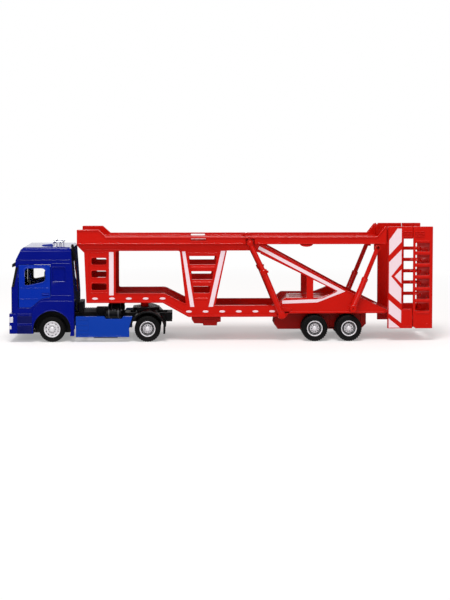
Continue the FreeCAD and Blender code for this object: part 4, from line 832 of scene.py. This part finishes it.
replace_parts(piece("horn_pair", horns(), CHROME, "tractor"), "roof_horns")
pipe_part, shield_part = stack_pipe()
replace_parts(piece("exhaust_pipe", pipe_part, CHROME, "tractor"), "exhaust_stack")
piece("exhaust_shield", shield_part, BLACK_PP, "tractor")


def tanks():
    """A round air tank with domed ends and its bracket, and its straps and fittings."""
    low, high = box_mm("air_tanks")
    radius, length = 3.6, high[0] - low[0]
    y, z = -16.4, 22.2
    middle = low[0] + length / 2
    a = np.linspace(0, np.pi / 2, 6)
    end = np.stack([radius * np.sin(a), 1.6 - 1.6 * np.cos(a)], -1)
    profile = np.concatenate([end, np.stack([end[::-1, 0], length - end[::-1, 1]], -1)])
    tank = turned(profile, (low[0], y, z), REARWARD, 36)
    bracket = slab((middle - 2, y, 17.7), (middle + 2, -7.9, 20.5), 0.2)
    ring = [(radius - 0.1, 0), (radius + 0.18, 0.08), (radius + 0.18, 0.9), (radius - 0.1, 1.0)]
    straps = [turned(ring, (low[0] + share * length, y, z), REARWARD, 36, True)
              for share in (0.2, 0.72)]
    top = (y - radius * 0.62, z + radius * 0.72)
    fittings = [dome((low[0] + share * length, *top), 0.7, 0.9, (0, -0.6, 0.8))
                for share in (0.45, 0.58, 0.93)]
    return joined(tank, bracket), joined(*straps, *fittings)


tank_part, strap_part = tanks()
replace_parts(piece("tank_pair", both_sides(tank_part), BLACK_PP, "tractor"), "air_tanks")
piece("tank_straps", both_sides(strap_part), GREY_PP, "tractor")


def skirt_details():
    """Ledges at the skirt's front, an upright line behind them and a line along its foot."""
    low, high = box_mm("side_skirt_left")
    y = low[1]
    ledges = [side_run([(low[0] + 1.2, z), (low[0] + 9.6, z)], y, bar_section(0.55, 0.3, 0.15))
              for z in (18.1, 13.9, 9.8, 6.6)]
    cheek = bead([(low[0] + 10.2, low[2] + 1.6), (low[0] + 10.2, high[2] - 1.4)], y, 0.4, 0.2)
    foot = bead([(low[0] + 0.8, low[2] + 0.7), (high[0] - 5.0, low[2] + 0.7)], y, 0.5, 0.2)
    return joined(*ledges, cheek, foot)


def under_strips():
    """The black tray that shows below each skirt."""
    return both_sides(slab((-102.4, -23.6, 3.3), (-83.4, -21.0, 4.4), 0.25))


piece("skirt_details", both_sides(skirt_details()), SKIRT_ABS, "tractor")
piece("skirt_under_trays", under_strips(), BLACK_PP, "tractor")


def chassis_details():
    """A propeller shaft, a ribbed battery box, a valve and two rear lights on the frame."""
    joints = [(0, 0), (1.3, 0), (1.3, 1.2), (0.9, 1.6), (0.9, 30), (1.3, 30.4), (1.3, 31.6), (0, 31.6)]
    shaft = turned(joints, (-104.0, 0, 16.2), REARWARD, 20)
    battery = slab((-101.0, -15.5, 20.9), (-91.8, -7.9, 26.6), 0.4)
    ribs = [slab((-100.2 + along, -15.8, 21.6), (-99.6 + along, -15.3, 26.0), 0.1)
            for along in np.arange(6) * 1.5]
    cap = [(0, 0), (1.1, 0.1), (1.1, 1.8), (0.7, 2.2), (0.7, 3.2), (0, 3.4)]
    valve = turned(cap, (-79.0, -10.0, 21.0), UP, 16)
    lights = [slab((-40.4, y, 15.2), (-39.9, y + 3.6, 19.0), 0.15) for y in (-7.8, 4.2)]
    return joined(shaft, battery, *ribs, valve, *lights)


def coupling_rings():
    """Three thin rings on the coupling plate, round the kingpin."""
    middle = (-62.6, 0, box_mm("fifth_wheel")[1][2])
    return joined(*[turned(rectangle(radius, -0.05, radius + 0.35, 0.06), middle, UP, 48, True)
                    for radius in (5.0, 6.6, 8.2)])


def cover_ribs():
    """Cooling ribs across the gearbox cover."""
    low, high = box_mm("gearbox_cover")
    return joined(*[slab((x, low[1] + 0.4, high[2] - 0.1), (x + 0.5, high[1] - 0.4, high[2] + 0.35), 0.1)
                    for x in np.linspace(low[0] + 0.8, high[0] - 1.3, 6)])


piece("chassis_details", chassis_details(), BLACK_PP, "tractor")
piece("coupling_grooves", coupling_rings(), STEEL, "tractor")
piece("gearbox_ribs", cover_ribs(), GREY_PP, "tractor")


# ---- trailer -------------------------------------------------------------------------------

SIDE = box_mm("side_frame_left")[0][1]
POST_SIDE = box_mm("rear_post_left")[0][1]
# Where the foot flange's middle runs under the front beam, the well and the hump.
BEAM_LOW, WELL_LOW, HUMP_LOW = (edge + 1.05 for edge in (31.0, 19.5, 22.2))


def lower_flange():
    """The flange along the foot of the side frame: front beam, neck and well."""
    path = [(-108.0, BEAM_LOW), (-47.0, BEAM_LOW), (-26.4, WELL_LOW), (42.8, WELL_LOW),
            (52.0, HUMP_LOW), (131.0, HUMP_LOW)]
    return side_run(path, SIDE, bar_section(1.7, 0.5, 0.3))


def upper_flange():
    """The flange along the top of the side frame, below the deck's rail."""
    return side_run([(-109.4, 73.9), (-34.0, 73.9)], SIDE, bar_section(1.1, 0.4, 0.25))


def opening_frames():
    """Raised rims round the front window, the three vents and the three-cornered opening."""
    window = [(-85.0, 38.6), (-45.8, 38.6), (-28.6, 29.9), (-33.5, 73.0), (-85.0, 73.0)]
    rims = [frame_ring(window, SIDE, 0.8, 0.32, 1.5, inward=0.15)]
    for foot in 41.2 + 10.2 * np.arange(3):
        vent = rectangle(-104.4, foot, -91.8, foot + 6.0)
        rims.append(frame_ring(vent, SIDE, 0.9, 0.3, 1.7, inward=0.35))
    triangle = [(73.5, 34.8), (80.5, 34.8), (92.5, 40.2), (73.5, 49.5)]
    rims.append(frame_ring(triangle, SIDE, 0.7, 0.3, 0.8, inward=0.1))
    return joined(*rims)


def panel_lines():
    """Lines that border the vent panel, the vee's arms, the diagonal and the lower beams."""
    lines = (((-33.2, 72.4), (-28.2, 30.4), 0.5, 0.25), ((-27.2, 71.5), (-21.2, 29.6), 0.4, 0.2),
             ((3.8, 72.4), (-5.2, 30.0), 0.5, 0.25), ((-2.6, 71.5), (-11.6, 29.6), 0.4, 0.2),
             ((35.8, 75.6), (98.6, 41.3), 0.6, 0.32), ((33.0, 70.2), (90.6, 41.6), 0.5, 0.28),
             ((99.6, 40.6), (132.8, 24.4), 0.6, 0.3), ((52.4, 34.4), (67.6, 34.4), 0.4, 0.22),
             ((-4.8, 28.5), (43.2, 28.5), 0.45, 0.22))
    return joined(bead(rectangle(-106.2, 39.2, -90.9, 71.6), SIDE, 0.5, 0.25, True, 0.8),
                  *[bead([start, end], SIDE, width, height) for start, end, width, height in lines])


def vee_rungs():
    """Rounded rails on the bars between the vee's arms. The arms' edges are worked out from their
    place at the vee's top and their lean for each mm down."""
    vee_top = 73
    solids = []
    for z, width in ((70.8, 1.3), (59.1, 2.2), (47.1, 2.2), (34.0, 2.0)):
        front = -33.5 + (vee_top - z) * 0.138 + 6.6
        rear = 4.1 - (vee_top - z) * 0.218 - 6.8
        solids.append(bead([(front, z), (rear, z)], SIDE, width, 0.3))
    return joined(*solids)


piece("frame_flanges", both_sides(lower_flange(), upper_flange()), RED_ABS, "trailer")
piece("frame_rims", both_sides(opening_frames(), panel_lines(), vee_rungs()), RED_ABS, "trailer")

# How thick the white film is.
FILM = 0.07


def strip(corners, width):
    """A strip of film along a line of corners."""
    half = width / 2
    section = [(half, 0), (half - 0.05, FILM), (0.05 - half, FILM), (-half, 0)]
    return side_run(corners, SIDE, section)


def side_strips():
    """White strips: the upright, the vee and the diagonal that turns back at the tip."""
    return joined(
        plate(round_corners(rectangle(-90.1, 37.2, -86.5, 72.0), 0.5), SIDE, FILM, 0.04),
        plate([(-25.2, 27.8), (-22.0, 27.8), (-29.2, 72.4), (-31.8, 72.4)], SIDE, FILM, 0.04),
        plate([(-10.5, 27.8), (-7.0, 27.8), (3.0, 72.8), (-0.6, 72.8)], SIDE, FILM, 0.04),
        strip([(29.6, 75.35), (96.4, 40.1), (76.6, 32.4), (48.6, 31.4)], 2.6))


MARKER_LENGTH, MARKER_HEIGHT = 4.7, 1.8


def oval(x, z):
    """A flattened oval button: (l/2 cos t, h/2 sin t)."""
    t = np.linspace(0, 2 * np.pi, 24, endpoint=False)
    across, up = MARKER_LENGTH / 2 * np.cos(t), MARKER_HEIGHT / 2 * np.sin(t)
    return plate(np.stack([x + across, z + up], -1), SIDE, 0.22, 0.2)


def side_markers():
    """A row of white buttons along the front beam and one along the well."""
    front = [oval(x, 34.6) for x in np.linspace(-101.4, -47.4, 5)]
    well = [oval(x, 24.0) for x in np.linspace(-26.3, 40.5, 6)]
    return joined(*front, *well)


def chevrons():
    """Plain hazard bands on the post: white fields with the post's red between them."""
    fields = ([(134.2, 81.2), (140.8, 90.6), (144.2, 90.6), (144.2, 80.0), (134.2, 69.2)],
              [(134.2, 63.6), (144.2, 73.8), (144.2, 62.5), (136.0, 52.2), (144.2, 42.6), (144.2, 30.2),
               (134.2, 39.0)],
              [(138.7, 52.2), (144.2, 57.8), (144.2, 46.4)],
              [(134.2, 33.2), (144.2, 24.6), (144.2, 14.6), (134.2, 22.4)],
              [(134.2, 18.2), (143.4, 10.8), (134.2, 10.8)])
    return joined(*[plate(field, POST_SIDE, FILM, 0.03) for field in fields])


piece("side_strips", both_sides(side_strips()), WHITE_VINYL, "trailer")
piece("side_markers", both_sides(side_markers()), WHITE_VINYL, "trailer")
piece("post_chevrons", both_sides(chevrons()), WHITE_VINYL, "trailer")


# Where the rear deck turns, and the pins and ends that the struts and rams stand between: (x, z).
HINGE = (22.2, 79.6)
STRUT_FOOT, STRUT_COLLAR = (48.0, 21.4), (33.3, 56.6)
RAM_FOOT, RAM_HEAD = (105.0, 26.6), (124.8, 75.4)
RAIL_HEAD_Z, RAIL_FOOT_Z = 83.7, 78.8
DECK_FRONT_LOW, DECK_FRONT_HIGH = box_mm("upper_deck_front")
RAIL_SIDE = DECK_FRONT_LOW[1]


def rail_lips(head, foot):
    """Rounded lips along a rail's head and foot."""
    return joined(bead(head, RAIL_SIDE, 1.1, 0.7), bead(foot, RAIL_SIDE, 1.1, 0.6))


def front_rail_lips():
    """The front deck's lips, which follow its rail's rise at the front."""
    start, end = DECK_FRONT_LOW[0] + 0.6, DECK_FRONT_HIGH[0] - 0.4
    head = [(start, 89.5), (-98.6, 89.5), (-92.2, RAIL_HEAD_Z), (end, RAIL_HEAD_Z)]
    return rail_lips(head, [(start, RAIL_FOOT_Z), (end - 4.2, RAIL_FOOT_Z)])


def slot_latch():
    """The small catch in the rail's slot, with a pointed tab below it."""
    tab = [(-24.2, 80.9), (-11.4, 80.9), (-12.2, 79.9), (-21.2, 79.9), (-22.4, 79.3), (-23.6, 79.9)]
    ring = frame_ring(rectangle(-24.6, 81.2, -12.6, 83.2), RAIL_SIDE, 0.4, 0.25, 0.6, inward=0.1)
    return joined(plate(tab, RAIL_SIDE, 0.35, 0.2), ring)


def rear_rail_lips():
    """The tilting deck's lips, and the flattened half-round tab below its rail."""
    start, end = HINGE[0] + 1.0, box_mm("upper_deck_rear")[1][0]
    head = [(start, RAIL_HEAD_Z), (end - 7.4, RAIL_HEAD_Z), (end - 1.4, 91.4)]
    foot = [(start + 5.6, RAIL_FOOT_Z), (end - 0.6, RAIL_FOOT_Z)]
    tab_z, flat = 78.3, 0.42
    tab = arc((67.8, tab_z), 5.2, 180, 360, 20) * (1, flat) + (0, tab_z * (1 - flat))
    return joined(rail_lips(head, foot), plate(tab, RAIL_SIDE + 1.6, 1.4, 0.3))


piece("front_deck_lips", both_sides(front_rail_lips(), slot_latch()), RED_ABS, "trailer")
piece("rear_deck_lips", both_sides(rear_rail_lips()), RED_ABS, "rear_upper_deck")

# Heights of the floors' tops, and of the upper decks' undersides.
UPPER_TOP, UPPER_UNDER = 82.2, 80.4
NECK_TOP, WELL_TOP, HUMP_TOP = 35.6, 23.6, 33.8
# How far from the middle the treads reach, on each floor, and the ribs below the upper decks.
UPPER_HALF, LOWER_HALF, RIB_HALF = 19.0, 17.6, 18.6
# Where the kerbs stand, and where the treads start beside them.
KERB_Y, TREAD_Y = 4.2, 5.0
TREAD_PITCH, RIB_PITCH = 4.0, 12.0


def treads(start, end, half, top):
    """Grip ribs in two wheel tracks across a floor, each a low half-round bar."""
    section = half_round(1.0, 0.22, 0.1, 5)
    return joined(*[swept([(x, side * TREAD_Y, top), (x, side * half, top)], section, UP)
                    for x in np.arange(start, end, TREAD_PITCH) for side in (-1, 1)])


def kerbs(start, end, top):
    """Low kerbs along the inner edges of the wheel tracks."""
    return joined(*[swept([(start, y, top), (end, y, top)], half_round(0.8, 0.35), UP)
                    for y in (-KERB_Y, KERB_Y)])


def under_ribs(start, end):
    """Stiffening ribs on the underside of an upper deck."""
    return joined(*[crossbar(x, RIB_HALF, UPPER_UNDER, bar_section(0.9, 0.9, 0.3), DOWN)
                    for x in np.arange(start, end, RIB_PITCH)])


piece("front_deck_treads", joined(treads(-110, 16, UPPER_HALF, UPPER_TOP), kerbs(-112, 18, UPPER_TOP)),
      RED_ABS, "trailer")
piece("rear_deck_treads", joined(treads(26, 128, UPPER_HALF, UPPER_TOP), kerbs(25, 130, UPPER_TOP)),
      RED_ABS, "rear_upper_deck")
piece("lower_deck_treads", joined(
    treads(-104, -50, LOWER_HALF, NECK_TOP), kerbs(-105, -49, NECK_TOP),
    treads(-22, 40, LOWER_HALF, WELL_TOP), kerbs(-23.5, 42, WELL_TOP),
    treads(58, 98, LOWER_HALF, HUMP_TOP), kerbs(56, 99, HUMP_TOP)), RED_ABS, "trailer")
piece("front_deck_ribs", under_ribs(-106, 16), RED_ABS, "trailer")
piece("rear_deck_ribs", under_ribs(32, 124), RED_ABS, "rear_upper_deck")


def gusset():
    """The four-cornered plate behind each strut's foot."""
    outline = [(42.2, 28.2), (45.4, 18.2), (50.6, 18.2), (57.0, 26.4)]
    return plate(round_corners(outline, 0.9), SIDE, 0.5, 0.25)


def strut_head_bracket():
    """The web between the front band and the diagonal, hollowed round the deck's hinge."""
    hollow = arc(HINGE, 2.95, 335, 215, 14)
    outline = np.concatenate([[(18.8, 73.0), (23.5, 73.0), (31.6, 70.9), (35.0, 76.8), (27.2, 78.3)],
                              hollow, [(18.8, 77.8)]])
    return plate(outline, SIDE + 2.0, 2.0, 0.3)


def joint_straps():
    """Straps inside the rails that close the joint between the two upper decks."""
    return slab((17.5, -21.95, 78.6), (26.5, -21.45, 84.1), 0.12)


def tail_straps():
    """Straps inside the tilting deck's rails that close the gap to the posts behind them."""
    return joined(slab((130.4, -22.1, 79.5), (131.6, -21.0, 91.0), 0.12),
                  slab((131.2, -21.5, 79.5), (134.3, -21.0, 91.4), 0.12))


# How deep the struts' and rams' middles lie behind their outer faces.
PIN_DEPTH = 2.6


def strut_collars():
    """The stepped collar where the strut's rod enters its barrel, its lug, and a bolt at each eye."""
    side = box_mm("deck_struts")[0][1]
    y = side + PIN_DEPTH
    foot, collar = side_path([STRUT_FOOT, STRUT_COLLAR], y)
    ring = turned([(2.2, -2.6), (2.8, -2.4), (2.8, -0.3), (2.92, -0.1), (2.92, 0.7), (2.6, 1.1), (1.7, 1.2),
                   (1.7, -2.6)], collar, collar - foot, 32, True)
    lug = slab((collar[0] + 1.6, y - 1.0, collar[2] - 1.2),
               (collar[0] + 4.0, y + 1.0, collar[2] + 0.6), 0.3)
    foot_bolt = dome((STRUT_FOOT[0], side, STRUT_FOOT[1]), 1.5, 0.02, LEFT, 20)
    hinge_bolt = dome((HINGE[0], side + 0.4, HINGE[1]), 1.2, 0.3, LEFT, 20)
    return joined(ring, lug, foot_bolt, hinge_bolt)


def ram_gland():
    """The gland at the open end of each ram's barrel."""
    foot, head = side_path([RAM_FOOT, RAM_HEAD], box_mm("ram_barrels")[0][1] + PIN_DEPTH)
    ring = [(2.0, 23.6), (2.58, 23.8), (2.58, 26.2), (2.3, 26.5), (2.0, 26.5)]
    return turned(ring, foot, head - foot, 32, True)


piece("strut_gussets", both_sides(gusset(), strut_head_bracket(), joint_straps()), RED_ABS, "trailer")
piece("rear_deck_tail_straps", both_sides(tail_straps()), RED_ABS, "rear_upper_deck")
piece("strut_collars", both_sides(strut_collars()), RED_ABS, "trailer")
piece("ram_glands", both_sides(ram_gland()), RED_ABS, "ram_barrels")


# Heights of the three plain ribs near the top of the posts and the ramp.
RIB_ROWS = (84.4, 86.2, 88.0)
RUNG_PITCH = 9.6


def post_edges():
    """Raised borders down the post's front and rear edges, and ribs across its head and foot."""
    return joined(bead([(133.8, 10.8), (133.8, 91.6)], POST_SIDE, 0.5, 0.3),
                  bead([(144.8, 26.4), (144.8, 81.8)], POST_SIDE, 0.45, 0.25),
                  *[bead([(145.6, z), (152.4, z)], POST_SIDE, 0.9, 0.7) for z in RIB_ROWS],
                  *[bead([(145.6, z), (152.4, z)], POST_SIDE, 0.4, 0.22) for z in (24.8, 12.0)])


def ramp_edges():
    """Borders, rungs, plain ribs and a hinge button on the ramp's side."""
    low, high = box_mm("rear_ramp")
    front, rear = low[0] + 0.6, high[0] - 0.7
    rungs = [bead([(front + 1.4, z), (rear - 1.9, z)], low[1], 1.6, 0.6)
             for z in 22.9 + np.arange(7) * RUNG_PITCH]
    ribs = [bead([(front + 0.6, z), (front + 8.0, z)], low[1], 0.9, 0.7) for z in RIB_ROWS]
    return joined(bead([(rear, 11.0), (rear, 91.4)], low[1], 0.6, 0.3),
                  bead([(front, 13.4), (front, 22.0)], low[1], 0.5, 0.25), *rungs, *ribs,
                  dome((rear - 3.3, low[1], 13.4), 1.1, 0.28, LEFT, 20))


def ramp_back():
    """Ribs across the outside of the ramp's plate."""
    face = box_mm("rear_ramp")[1][0] - 0.02
    return joined(*[crossbar(face, 20.0, z, bar_section(0.8, 0.02, 0.01), REARWARD)
                    for z in np.arange(27.0, 88.0, RUNG_PITCH)])


piece("post_edges", both_sides(post_edges()), RED_ABS, "trailer")
piece("ramp_edges", both_sides(ramp_edges()), RED_ABS, "loading_ramp")
piece("ramp_back_ribs", ramp_back(), RED_ABS, "loading_ramp")


TRAILER_AXLES = (74.7, 102.2)


def bogie_details():
    """A rib behind each axle, a rail over them and three spring leaves above each axle."""
    y = box_mm("undercarriage")[0][1]
    ribs = [bead([(x, 9.4), (x, 20.6)], y, 0.8, 0.4) for x in (88.4, 114.0)]
    rail = bead([(46.0, 20.9), (116.0, 20.9)], y, 0.9, 0.4)
    leaves = [side_run(arc((axle, 33.0), 19.2 + leaf * 0.8, 250 - leaf, 290 + leaf, 12), y,
                       bar_section(0.6, 1.2, 0.2)) for axle in TRAILER_AXLES for leaf in range(3)]
    return joined(*ribs, rail, *leaves)


def leg_details():
    """A foot plate and a rib on the side of the support block."""
    low, high = box_mm("support_block")
    corners = rectangle(low[0] + 9.6, low[2] + 0.2, low[0] + 20.2, low[2] + 4.6)
    foot = plate(round_corners(corners, 0.8), low[1], 0.6, 0.3)
    rib = bead([(low[0] + 1.2, high[2] - 3.6), (high[0] - 1.0, high[2] - 3.6)], low[1], 0.7, 0.35)
    return joined(foot, rib)


# The bogie's and the leg's details take the red painted darker as their shade.
piece("bogie_details", both_sides(bogie_details()), SHADED_RED_ABS, "trailer")
piece("leg_details", both_sides(leg_details()), SHADED_RED_ABS, "trailer")


# ---- stage ---------------------------------------------------------------------------------

# Share of the sheet's look that is lift, near the object; it grows to all of it at a distance, so
# the sheet keeps the object's shadow and runs out to white.
LIFT_SHARE = 0.3
LIFT_STRENGTH = 1.0
LIFT_NEAR_M, LIFT_FAR_M = 0.22, 0.55
SKY_STRENGTH = 0.6


def on_show(tree):
    """One for camera, glossy and see-through rays, nought for the others."""
    path = add(tree, "ShaderNodeLightPath")
    seen = add(tree, "ShaderNodeMath", {
        0: path.outputs["Is Camera Ray"], 1: path.outputs["Is Glossy Ray"]}, operation="MAXIMUM")
    either = add(tree, "ShaderNodeMath", {
        0: seen.outputs[0], 1: path.outputs["Is Transmission Ray"]}, operation="MAXIMUM")
    return either.outputs[0]


def white_floor():
    """A matt white sheet. What the camera, glossy and see-through rays meet is lifted to white
    away from the object; other rays meet plain white paint."""
    material, tree, place = new_material("white_paper_sheet")
    away = add(tree, "ShaderNodeVectorMath", {0: place}, operation="LENGTH")
    growth = add(tree, "ShaderNodeMapRange", {
        "Value": away.outputs["Value"], "From Min": LIFT_NEAR_M, "From Max": LIFT_FAR_M,
        "To Min": LIFT_SHARE, "To Max": 1.0})
    paper = add(tree, "ShaderNodeBsdfDiffuse", {"Color": linear("#F5F1F0")})
    lift = add(tree, "ShaderNodeEmission", {"Color": linear("#FFFFFF"), "Strength": LIFT_STRENGTH})
    share = add(tree, "ShaderNodeMath", {0: on_show(tree), 1: growth.outputs[0]}, operation="MULTIPLY")
    close(tree, add(tree, "ShaderNodeMixShader", {
        0: share.outputs[0], 1: paper.outputs[0], 2: lift.outputs[0]}))
    return material


def staged_face(name, corners, material):
    """One flat face of the stage, in metres."""
    mesh = bpy.data.meshes.new(name)
    mesh.from_pydata(corners.tolist(), [], [list(range(len(corners)))])
    mesh.materials.append(material)
    made = bpy.data.objects.new(name, mesh)
    bpy.context.collection.objects.link(made)
    return made


def floor():
    """The round sheet that the object stands on."""
    reach, sides = 12.0, 48
    t = np.linspace(0, 2 * np.pi, sides, endpoint=False)
    points = np.stack([reach * np.cos(t), reach * np.sin(t), np.zeros(sides)], -1)
    staged_face("floor", points, white_floor())


def card_corners(low, high):
    """Corners of an upright or level card that spans two opposite ones."""
    low, high = np.array(low), np.array(high)
    across, along = np.flatnonzero(high - low)
    reached = np.zeros((4, 3), bool)
    reached[[1, 2], across] = True
    reached[[2, 3], along] = True
    return np.where(reached, high, low)


def flags():
    """Dark cards, which only reflections meet, so that glossy sides stay deep. Four stand round the
    object, the long sides' ones off the ground so that tops still mirror the bright horizon, and
    two lie on the floor beside it."""
    material, tree, _ = new_material("black_card")
    close(tree, add(tree, "ShaderNodeEmission", {"Color": linear("#1C1C1E"), "Strength": 1.0}))
    far, near, foot, top, thin = 3.0, 0.032, 0.95, 4.5, 0.001
    cards = {
        "front_card": ((-far, -far, 0), (-far, far, top)), "rear_card": ((far, -far, 0), (far, far, top)),
        "left_card": ((-far, -far, foot), (far, -far, top)),
        "right_card": ((-far, far, foot), (far, far, top)),
        "left_mat": ((-far, -far, thin), (far, -near, thin)),
        "right_mat": ((-far, near, thin), (far, far, thin))}
    for name, (low, high) in cards.items():
        card = staged_face(name, card_corners(low, high), material)
        card.visible_camera = False
        card.visible_diffuse = False
        card.visible_shadow = False
        card.visible_transmission = False


def room_light():
    """A pale world: plain light on the object, and white where it is looked at."""
    world = bpy.data.worlds.new("studio")
    bpy.context.scene.world = world
    world.use_nodes = True
    tree = world.node_tree
    tree.nodes.clear()
    strength = add(tree, "ShaderNodeMapRange", {
        "Value": on_show(tree), "To Min": SKY_STRENGTH, "To Max": 1.0})
    sky = add(tree, "ShaderNodeBackground", {"Color": (1, 1, 1, 1), "Strength": strength.outputs[0]})
    add(tree, "ShaderNodeOutputWorld", {"Surface": sky.outputs[0]})


def soft_box(name, place, target, size, power):
    """A square lamp that faces a target."""
    data = bpy.data.lights.new(name, "AREA")
    data.size = size
    data.energy = power
    lamp = bpy.data.objects.new(name, data)
    lamp.location = place
    aim = Vector(np.subtract(target, place))
    lamp.rotation_euler = aim.to_track_quat("-Z", "Y").to_euler()
    bpy.context.collection.objects.link(lamp)


floor()
flags()
room_light()
OBJECT_MIDDLE = (0, 0, 0.05)
soft_box("top_box", (-0.1, -0.45, 1.2), OBJECT_MIDDLE, 0.45, 10.5)
soft_box("front_box", (-0.55, -1.3, 0.75), OBJECT_MIDDLE, 0.5, 3.0)

# A long lens a little above and to the left of the object's middle, turned slightly to it. The
# rest of the framing is lens shift, so uprights stay nearly upright.
FOCAL_OVER_HEIGHT = 1.7323
EYE = (-0.0282, -0.8508, 0.1499)
TURN_DEG, DIP_DEG = 1.134, 2.5
SENSOR_MM = 36.0
SHIFT_X, SHIFT_Y = 0.03, -0.1669

camera = bpy.data.cameras.new("camera")
camera.sensor_fit = "AUTO"
camera.sensor_width = SENSOR_MM
camera.lens = SENSOR_MM * FOCAL_OVER_HEIGHT
camera.shift_x = SHIFT_X
camera.shift_y = SHIFT_Y
eye = bpy.data.objects.new("camera", camera)
eye.location = EYE
eye.rotation_euler = (math.radians(90 - DIP_DEG), 0, math.radians(-TURN_DEG))
bpy.context.collection.objects.link(eye)
bpy.context.scene.camera = eye
bpy.context.scene.view_settings.view_transform = "Standard"
